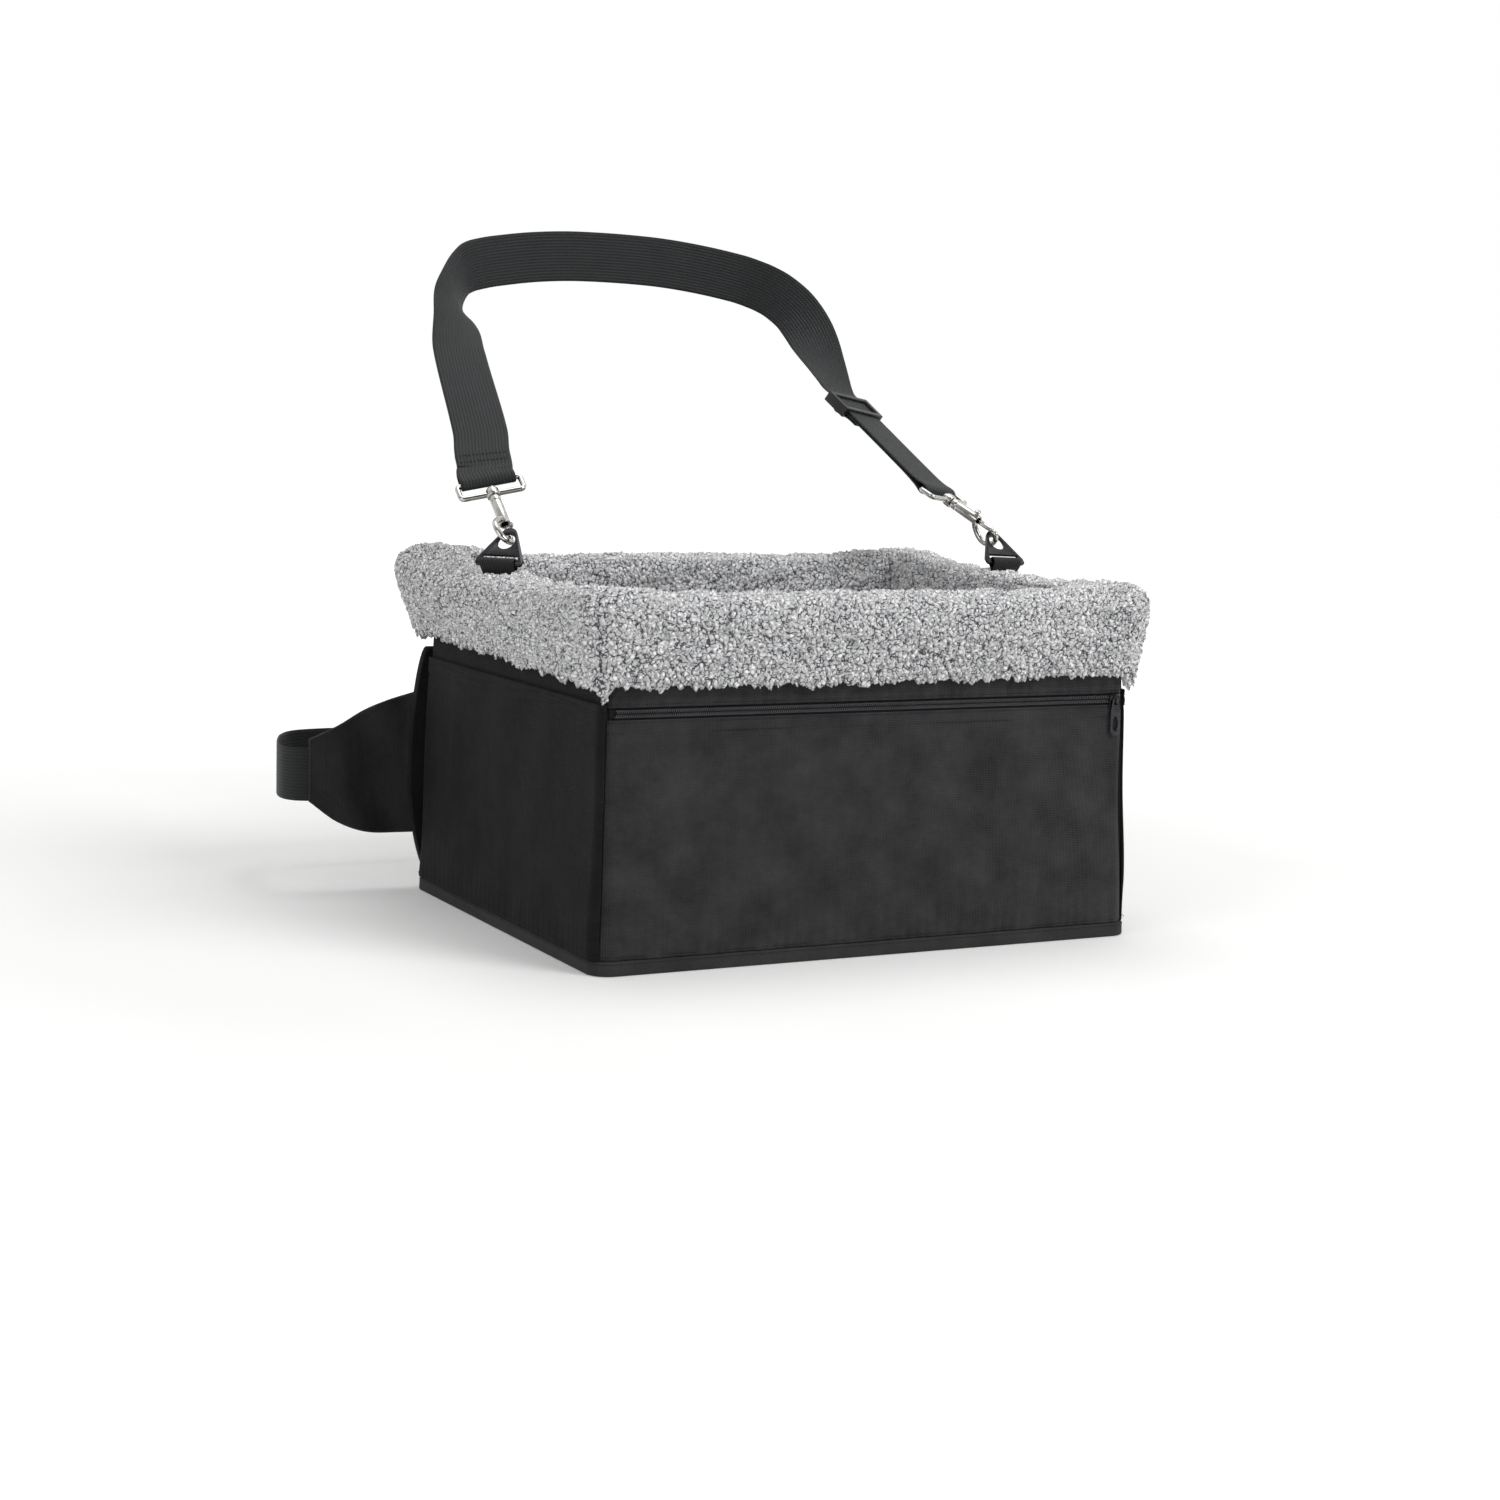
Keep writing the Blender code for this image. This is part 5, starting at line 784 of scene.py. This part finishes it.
# The straight stretches at the left and right hooks each keep one way across
l, r = (0.96, -0.19, 0.2), (-0.91, -0.39, 0.13)
upper_strap = [
    (-185.6, 104.8, 329.9, *l), (-188.4, 91.2, 319.7, *l), (-190.7, 86.9, 316, *l),
    (-190.7, 78.6, 308, *l), (-191.6, 74.4, 308.6, *l), (-192.3, 75.1, 312.9, *l),
    (-191.5, 85.1, 318.4, *l), (-189.2, 90, 321.4, *l), (-186.1, 103.7, 331.4, *l),
    (-180.2, 123.2, 346.1, *l), (-167.5, 201.3, 405.1, 0.97, -0.14, 0.02),
    (-159.5, 227.8, 425.2, 0.93, -0.02, -0.30), (-155.7, 248.6, 441.1, 0.8, 0.13, -0.58),
    (-150.5, 262, 451, 0.5, 0.26, -0.83),
    (-142, 276.3, 460.6, 0.34, 0.18, -0.92), (-131.2, 289.5, 469.1, 0.17, 0.09, -0.98),
    (-124.4, 294.8, 472.5, 0.08, 0.04, -1), (-116.5, 298.5, 475, 0, 0, -1),
    (-98, 303.7, 478.9, 0, 0, -1), (-59.3, 309.8, 484.3, 0, 0, -1), (-19.7, 311.8, 486.7, 0, 0, -1),
    (39.6, 311.2, 485.8, 0, 0, -1), (78.9, 307.4, 482, 0, 0, -1), (116.5, 298.5, 475, 0, 0, -1),
    (131.9, 289.6, 469.4, -0.16, 0.05, -0.99), (138.2, 283.4, 465.7, -0.24, 0.08, -0.97),
    (143.5, 276.4, 461.3, -0.32, 0.11, -0.94), (150.5, 262, 451, -0.47, 0.16, -0.87),
    (153.5, 249.3, 440.6, -0.62, 0.08, -0.78), (154.5, 236.7, 429.7, -0.76, -0.03, -0.65),
    (153.6, 211.5, 407.3, -0.94, -0.26, -0.24), (153.2, 186.1, 385.1, *r),
    (156.3, 176.7, 378.3, *r), (164.1, 152.5, 360.6, *r), (182.4, 95.9, 319.4, *r),
    (185.2, 87.5, 314.1, *r),
    (188.3, 78.7, 309.3, *r), (188.1, 77.8, 305, *r), (186.3, 81.8, 304.3, *r),
    (184.3, 88.4, 310.6, *r), (179.9, 102.6, 322, *r), (158.6, 168.4, 369.6, *r),
    (157.6, 170.7, 369.9, *r), (156.8, 172, 367.8, *r), (157, 170.9, 365.6, *r),
    (161.6, 158.1, 359.8, *r), (164.1, 150.4, 354.7, *r)]
middle, across, normal = strap("headrest_webbing", upper_strap, 0.040, 0.0016, webbing,
                               "seat_body", "headrest_strap")
# Two rows of stitches through both layers above the left hook, each found on the outer layer,
# whose points start after the first 5.5% of the route
rows = np.array([[-0.1888, 0.0955, 0.3240], [-0.1875, 0.1015, 0.3290]])
face = np.linalg.norm(middle[:, None] - rows, axis=2)
late = int(len(middle) * 0.055)
seams = []
for column in (0, 1):
    spot = late + int(np.argmin(face[late:late + 60, column]))
    seams.append(cross_seam(middle, across, normal, spot, 0.0178, 0.00102))
    seams.append(cross_seam(middle, across, normal, spot, 0.0178, -0.00102))
stitches("strap_stitches", "seat_body", *seams)


# Rings, eyes, hooks and bolts. Black-plated triangle rings hang in the tabs. On each a nickel
# snap hook is clipped: a wire eye for the webbing, a hook that swivels in the eye's boss on a
# headed pin, and a sprung bolt with a thumb knob that closes the hook's mouth.

# Bright nickel plate on steel: a clean, slightly warm mirror with faint polishing marks and
# small grey clouds where it has been handled.
nickel, tree, shader = new_finish("nickel_plate", Metallic=1.0)
place = add(tree, "ShaderNodeTexCoord").outputs["Object"]
cloud = add(tree, "ShaderNodeTexNoise", {"Vector": place, "Scale": 260.0,
                                         "Detail": 4.0}).outputs["Fac"]
tree.links.new(add(tree, "ShaderNodeMapRange", {
    "Value": cloud, "From Min": 0.3, "From Max": 0.7, "To Min": 0.10, "To Max": 0.22}).outputs[0],
    shader.inputs["Roughness"])
tree.links.new(add(tree, "ShaderNodeMix", {
    "Factor": cloud, "A": linear("#a9a7a2"), "B": linear("#d6d4cf")},
    data_type="RGBA").outputs["Result"], shader.inputs["Base Color"])
tree.links.new(add(tree, "ShaderNodeBump", {
    "Height": cloud, "Strength": 0.08, "Distance": 0.0003}).outputs[0], shader.inputs["Normal"])


def turned(profile, ring=24):
    """A lathe form: (radius, height) pairs carried round the Z axis, with closed poles."""
    radius, height = np.array([(0, profile[0][1]), *profile, (0, profile[-1][1])]).T
    turn = np.linspace(0, 2 * np.pi, ring + 1)
    return np.stack([radius[:, None] * np.cos(turn), radius[:, None] * np.sin(turn),
                     np.broadcast_to(height[:, None], (len(radius), ring + 1))], axis=-1)


def rounded(profile, edge):
    """A profile with every corner cut twice at a distance of edge, or a third of a short side."""
    profile = np.array(profile, float)
    before, here, after = profile[:-2], profile[1:-1], profile[2:]
    ways = [part - here for part in (before, after)]
    reach = [np.linalg.norm(way, axis=1)[:, None] for way in ways]
    cut = [way / far * np.minimum(edge, far / 3) for way, far in zip(ways, reach)]
    middle = [here + cut[0], here + (cut[0] + cut[1]) * 0.29, here + cut[1]]
    return np.concatenate([profile[:1], np.stack(middle, axis=1).reshape(-1, 2), profile[-1:]])


def assembled(name, parts, finish, slot, body, node):
    """Grids that overlap as forged or cast pieces do, joined into one object."""
    pieces = [surface(f"{name}_{index}", part, flat_uv(part), finish, slot, body, capped=True)
              for index, part in enumerate(parts)]
    with bpy.context.temp_override(active_object=pieces[0], selected_editable_objects=pieces):
        bpy.ops.object.join()
    pieces[0].name = pieces[0].data.name = name
    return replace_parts(pieces[0], node)


hardware = {  # the eye's middle, the way to the gate, up the shank, and along the eye's bars
    "left": ((-0.191847, 0.066275, 0.302124), (0.870004, 0.286079, -0.401562),
             (0.025990, 0.786711, 0.616774), (0.961635, -0.188229, 0.199569)),
    "right": ((0.191321, 0.068801, 0.300894), (-0.032482, -0.468482, 0.882876),
              (-0.299089, 0.847419, 0.438664), (0.912221, 0.388812, -0.129146))}
for side, (origin, gate, shank, bar) in hardware.items():
    origin, gate, shank, bar = (np.array(part) for part in (origin, gate, shank, bar))

    def set_in(local, first=gate):
        """Turns a grid from the hook's own X, Y and Z to its place on the strap."""
        return origin + local @ np.stack([first, np.cross(shank, first), shank])

    dressed(side + "_ring", black_nickel, "black_nickel", side + "_ring_body", 0.0005)
    # Eye: 4 mm wire bent to a long loop with round corners, with the boss in its lower bar
    turn = np.linspace(0, np.pi / 2, 9)
    loop = np.concatenate([np.stack([
        (0.0202 * sx + 0.0030 * np.cos(turn + start)), 0 * turn,
        0.00675 + 0.00375 * sz + 0.0030 * np.sin(turn + start)], axis=1)
        for sx, sz, start in ((1, 1, 0), (-1, 1, np.pi / 2), (-1, -1, np.pi),
                              (1, -1, 1.5 * np.pi))])
    wire = tube(loop, 0.0020, 16, closed=True)
    boss = turned(rounded([(0.0026, -0.0033), (0.0050, -0.0033), (0.0050, 0.0033),
                           (0.0026, 0.0033)], 0.0010))
    assembled(side + "_eye_wire", [set_in(wire, bar), set_in(boss, bar)], nickel, "nickel",
              side + "_eye_body", side + "_eye")
    # Hook: headed pin, barrel with its bright collar, and the bend drawn down to its tip
    pin = rounded([(0.0006, 0.0056), (0.0038, 0.0050), (0.0038, 0.0036), (0.0020, 0.0036),
                   (0.0020, -0.0036), (0.0035, -0.0036), (0.0042, -0.0056), (0.0042, -0.0088),
                   (0.0039, -0.0094), (0.0039, -0.0100), (0.0042, -0.0106), (0.0042, -0.0330),
                   (0.0026, -0.0330), (0.0026, -0.0240)], 0.0005)
    bend = curve(np.array([(-0.0014, 0, -0.02858), (-0.0065, 0, -0.0317), (-0.01196, 0, -0.03846),
                           (-0.0130, 0, -0.04496), (-0.0104, 0, -0.0509), (-0.0068, 0, -0.0535),
                           (-0.00156, 0, -0.05272), (0, 0, -0.0497)]), np.linspace(0, 7, 57))
    taper = np.linspace(1.0, 0.85, 57) * np.append(np.ones(54), [0.97, 0.88, 0.62])
    assembled(side + "_hook_body_finished",
              [set_in(turned(pin)), set_in(tube(bend, 0.0024 * taper, 18))], nickel, "nickel",
              side + "_hook_body", side + "_hook")
    # Bolt: a plunger under the barrel with its knob standing out on a short neck
    plunger = rounded([(0.0021, -0.0240), (0.0021, -0.0478), (0.0014, -0.0487)], 0.0006)
    knob = turned(rounded([(0.0012, 0.0), (0.0012, 0.0060), (0.0027, 0.0060), (0.0027, 0.0072),
                           (0.0016, 0.0078)], 0.0005))[..., [2, 1, 0]] + np.array([0, 0, -0.0300])
    assembled(side + "_bolt_finished", [set_in(turned(plunger)), set_in(knob)], nickel, "nickel",
              side + "_bolt_body", side + "_bolt")
    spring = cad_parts[side + "_hook_spring"].data
    spring.materials.clear()
    spring.materials.append(nickel)


# Slide, buckle and keeper. Injection-moulded acetal: a slide on the right arm of the upper
# strap, a side-release buckle that closes the belt, and a keeper for the belt's loose end.

# Black acetal: satin from the mould's fine spark-eroded skin, 0.3 mm grain drawn at 0.8 mm,
# and faintly rubbed.
acetal, tree, shader = new_finish("moulded_acetal", Specular_IOR_Level=0.5)
place = add(tree, "ShaderNodeTexCoord").outputs["Object"]
grain = add(tree, "ShaderNodeTexNoise", {"Vector": place, "Scale": 1250.0,
                                         "Detail": 2.0}).outputs["Fac"]
wear = add(tree, "ShaderNodeTexNoise", {"Vector": place, "Scale": 90.0,
                                        "Detail": 4.0}).outputs["Fac"]
tree.links.new(add(tree, "ShaderNodeMapRange", {
    "Value": wear, "To Min": 0.36, "To Max": 0.56}).outputs[0], shader.inputs["Roughness"])
tree.links.new(add(tree, "ShaderNodeMix", {
    "Factor": wear, "A": linear("#131314"), "B": linear("#222223")},
    data_type="RGBA").outputs["Result"], shader.inputs["Base Color"])
tree.links.new(add(tree, "ShaderNodeBump", {
    "Height": grain, "Strength": 0.35, "Distance": 0.0002}).outputs[0], shader.inputs["Normal"])
for node, body, edge in (("strap_adjuster", "seat_body", 0.0007),
                         ("buckle_socket", "seat_body", 0.0012),
                         ("buckle_plug", "seat_body", 0.0010), ("belt_keeper", "keeper", 0.0006),
                         ("buckle_prong_upper", "prong_upper", 0.0007),
                         ("buckle_prong_lower", "prong_lower", 0.0007)):
    dressed(node, acetal, "plastic", body, edge)


# Padded back. 12 mm of foam between two layers of the side cloth, sewn to the back wall. It
# swells past the walls low down and is pulled in at its top corners; a seam runs round its edge.

def pad_half(height):
    """Half the pad's width: it swells in its lower third and narrows towards both ends."""
    up = np.clip((height - 0.014) / 0.170, 0, 1)
    return 0.198 + 0.0065 * up + 0.0175 * np.sin(np.pi * (0.03 + 0.97 * up)) ** 0.6 * (1 - up / 3)


pad_middle, pad_half_height, pad_face = 0.099, 0.085, 0.1796
u, v = np.meshgrid(np.sin(np.linspace(-1, 1, 200) * np.pi / 2),
                   np.sin(np.linspace(-1, 1, 90) * np.pi / 2))
z = pad_middle + pad_half_height * v
x = u * pad_half(z)
root = half_depth + end_splay * (1 - z / cuff_edge) + 0.0003
crown = np.clip((1 - np.abs(u) ** 16) * (1 - np.abs(v) ** 9), 0, 1) ** 0.42
full = pad_face - 0.0009 * waves(x, z, 0.075, 81) * crown
seam = root + 0.0052
face = np.stack([x, seam + (full - seam) * crown, z], axis=-1)
rear = np.stack([x, root + 0.0052 * (1 - np.minimum(1, crown * 4)), z], axis=-1)
points = np.concatenate([face, rear[::-1], face[:1]])
pad = surface("back_cushion", points, flat_uv(points), side_oxford, "side_oxford", "seat_body",
              "back_pad", capped=True)
turn = np.linspace(0, 2 * np.pi, 400)
edge_u = np.clip(np.cos(turn) * 1.6, -0.965, 0.965)
edge_v = np.clip(np.sin(turn) * 1.6, -0.91, 0.91)
edge_z = pad_middle + pad_half_height * edge_v
level = np.clip((1 - np.abs(edge_u) ** 16) * (1 - np.abs(edge_v) ** 9), 0, 1) ** 0.42
edge_root = half_depth + end_splay * (1 - edge_z / cuff_edge) + 0.0055
route = np.stack([edge_u * pad_half(edge_z), edge_root + (pad_face - edge_root) * level + 0.0002,
                  edge_z, 0 * turn, 0 * turn + 1, 0 * turn], axis=1)
stitches("pad_stitches", "seat_body", route)


# Wings and belts. Shaped flaps of the side cloth are sewn to the pad's edges, and each carries
# 40 mm webbing that goes round in a wide loop to the buckle.

# The wings' cloth is the side oxford with a coated face, so it shines in soft blotches.
coated = woven("coated_polyester_oxford", "#121213", "#262627", 0.0011, 0.45, 0.50, 0.05, 0.30)
half_belt = [(263.5, 184.4), (278.2, 187.1), (289.7, 190.6), (297.1, 195.3), (301.9, 207.2),
             (300, 225.4), (285.7, 267.9), (277.7, 282.2), (273, 288.2), (267.6, 292.8),
             (260.6, 296.1), (252.8, 298.1), (236.7, 299.9), (220.1, 299.4)]
for side, sign in (("left", -1), ("right", 1)):
    plan = np.array([(0.1990, 0.1757, 0.1530, 0.0420), (0.2400, 0.1785, 0.1390, 0.0420),
                     (0.2660, 0.1820, 0.1245, 0.0500), (0.2880, 0.1870, 0.1135, 0.0665)])
    at = even(plan, 90)
    plan = curve(plan, at)
    top, low, plan = plan[:, 2], plan[:, 3], plan[:, :2]
    ahead = np.gradient(plan, axis=0)
    ahead /= np.linalg.norm(ahead, axis=1)[:, None]
    rise = np.sin(np.linspace(-1, 1, 60) * np.pi / 2) / 2 + 0.5
    z = low + (top - low) * rise[:, None]
    into = np.clip(1 - at / 0.8, 0, 1) ** 2
    x = plan[:, 0] * (1 - into) + (pad_half(z) - 0.0035) * into
    y = plan[:, 1] * (1 - into) + (0.1654 + end_splay * (1 - z / cuff_edge)) * into
    thin = np.clip(np.minimum(np.minimum(rise, 1 - rise)[:, None] / 0.012,
                              (at[-1] - at) / 0.03), 0.1, 1) ** 0.5
    # Soft waves over the flap, and gathers 16 mm apart that fade away from its sewn root
    ripple = 0.0011 * waves(x, z, 0.045, 91) * np.clip(at / 0.6, 0, 1) * np.clip(
        (3 - at) / 1.2, 0, 1)
    gathers = np.sin(z * 2 * np.pi / 0.016 + 2 * waves(z, z, 0.05, 93))
    ripple += 0.0009 * gathers * at ** 0.5 * np.exp(-at / 0.25)
    faces = [np.stack([sign * (x - ahead[:, 1] * (ripple + way * 0.00135 * thin)),
                       y + ahead[:, 0] * (ripple + way * 0.00135 * thin), z], axis=-1)
             for way in (-1, 1)]
    points = np.concatenate([faces[0], faces[1][::-1], faces[0][:1]])
    surface(side + "_flap", points, flat_uv(points), coated, "side_oxford", "seat_body",
            side + "_wing", capped=True)
    lift = np.stack([sign * ahead[:, 1], -ahead[:, 0], 0 * at], axis=1)
    seams = [np.concatenate([faces[0][row, 4:-2], lift[4:-2]], axis=1) for row in (9, 50)]
    for column in (74, 87):
        column_line = faces[0][8:52, column]
        way = np.repeat(lift[column:column + 1], 44, axis=0)
        seams.append(np.concatenate([column_line, way], axis=1))
    stitches(side + "_flap_stitches", "seat_body", *seams)
    back = [(76, 299.4), (61, 299.2), (46, 297.3), (42.9, 300.4), (46, 303.4), (61, 301.5),
            (151 if side == "left" else 80, 301.3)]
    route = [(sign * x, y, 86.5, 0, 0, 1) for x, y in half_belt + [(151, 299.4)] + back]
    strap(side + "_belt_webbing", route, 0.040, 0.0016, webbing, "seat_body", side + "_belt")


# Floor, light and camera: a plain white floor, soft studio light from the front, and the
# photograph's view from the left of the seat's front.

# Painted studio floor: matt white, with the least mottling. To the camera and in reflections it
# also glows a little, more so further out, so that it meets the white backdrop without an edge.
paint, tree, shader = new_finish("matt_white_paint", Roughness=0.9, Specular_IOR_Level=0.2,
                                 Emission_Color=(1.0, 1.0, 1.0, 1.0))
place = add(tree, "ShaderNodeTexCoord").outputs["Object"]
mottle = add(tree, "ShaderNodeTexNoise", {"Vector": place, "Scale": 6.0}).outputs["Fac"]
tree.links.new(add(tree, "ShaderNodeMix", {
    "Factor": mottle, "A": linear("#efefee"), "B": linear("#f5f5f4")},
    data_type="RGBA").outputs["Result"], shader.inputs["Base Color"])


def looked_at(tree):
    """1 for rays from the camera, off a glossy surface or through a clear one, otherwise 0."""
    rays = add(tree, "ShaderNodeLightPath").outputs
    seen = add(tree, "ShaderNodeMath", {0: rays["Is Camera Ray"], 1: rays["Is Glossy Ray"]},
               operation="MAXIMUM").outputs[0]
    return add(tree, "ShaderNodeMath", {0: seen, 1: rays["Is Transmission Ray"]},
               operation="MAXIMUM").outputs[0]


far = add(tree, "ShaderNodeVectorMath", {0: place}, operation="LENGTH").outputs["Value"]
glow = add(tree, "ShaderNodeMapRange", {"Value": far, "From Min": 0.5, "From Max": 2.4,
                                        "To Min": 0.16, "To Max": 0.75}).outputs[0]
tree.links.new(add(tree, "ShaderNodeMath", {0: glow, 1: looked_at(tree)},
                   operation="MULTIPLY").outputs[0], shader.inputs["Emission Strength"])
turn, far = np.meshgrid(np.linspace(0, 2 * np.pi, 97),
                        np.array([0.001, 0.4, 0.8, 1.5, 3.0, 6.0, 9.0]))
points = np.stack([far * np.cos(turn), far * np.sin(turn), 0 * far], axis=-1)
index = np.arange(7 * 97).reshape(7, 97)
floor_mesh = bpy.data.meshes.new("studio_floor")
floor_mesh.from_pydata(points.reshape(-1, 3), [], np.stack(
    [index[:-1, :-1], index[1:, :-1], index[1:, 1:], index[:-1, 1:]], axis=-1).reshape(-1, 4))
floor_mesh.materials.append(paint)
studio_floor = bpy.data.objects.new("studio_floor", floor_mesh)
bpy.context.scene.collection.objects.link(studio_floor)

# World: plain white to the camera, weaker as a light, and for reflections bright beyond the
# seat and dim behind the camera, so that metal has dark edges
world = bpy.data.worlds.new("studio")
bpy.context.scene.world = world
world.use_nodes = True
tree = world.node_tree
ray = add(tree, "ShaderNodeTexCoord").outputs["Generated"]
toward = add(tree, "ShaderNodeVectorMath", {0: ray, 1: (0.46, 0.88, 0.15)},
             operation="DOT_PRODUCT").outputs["Value"]
studio = add(tree, "ShaderNodeMapRange", {"Value": toward, "From Min": -0.55, "From Max": 0.35,
                                          "To Min": 0.12, "To Max": 1.0}).outputs[0]
power = add(tree, "ShaderNodeMix", {"Factor": looked_at(tree), "A": 0.42, "B": 1.0}).outputs[0]
glossy = add(tree, "ShaderNodeLightPath").outputs["Is Glossy Ray"]
power = add(tree, "ShaderNodeMix", {"Factor": glossy, "A": power, "B": studio}).outputs[0]
tree.links.new(power, tree.nodes["Background"].inputs["Strength"])
tree.nodes["Background"].inputs["Color"].default_value = (1.0, 1.0, 1.0, 1.0)

for name, spot, aim, size, watts in (
        ("key", (1.3, -2.2, 2.1), (0.0, 0.0, 0.2), 1.6, 46.0),
        ("fill", (-2.6, -1.2, 1.2), (0.0, 0.0, 0.2), 1.8, 15.0),
        ("top", (0.3, 0.5, 2.8), (0.0, 0.1, 0.2), 1.6, 21.0)):
    lamp = bpy.data.lights.new(name, "AREA")
    lamp.energy, lamp.size, lamp.shape = watts, size, "DISK"
    lamp_object = bpy.data.objects.new(name, lamp)
    lamp_object.location = spot
    lamp_object.rotation_euler = (Vector(aim) - Vector(spot)).to_track_quat("-Z", "Y").to_euler()
    bpy.context.scene.collection.objects.link(lamp_object)

lens = bpy.data.cameras.new("camera")
lens.sensor_width, lens.lens = 36.0, 62.4
camera = bpy.data.objects.new("camera", lens)
right, up = (0.88840, -0.45818, 0.02872), (0.03495, 0.12987, 0.99091)
ahead = (0.45775, 0.87932, -0.13139)
camera.matrix_world = Matrix([(right[i], up[i], -ahead[i], place) for i, place in
                              enumerate((-0.88447, -1.67254, 0.370176))] + [(0, 0, 0, 1)])
bpy.context.scene.collection.objects.link(camera)
bpy.context.scene.camera = camera
bpy.context.scene.view_settings.view_transform = "Standard"
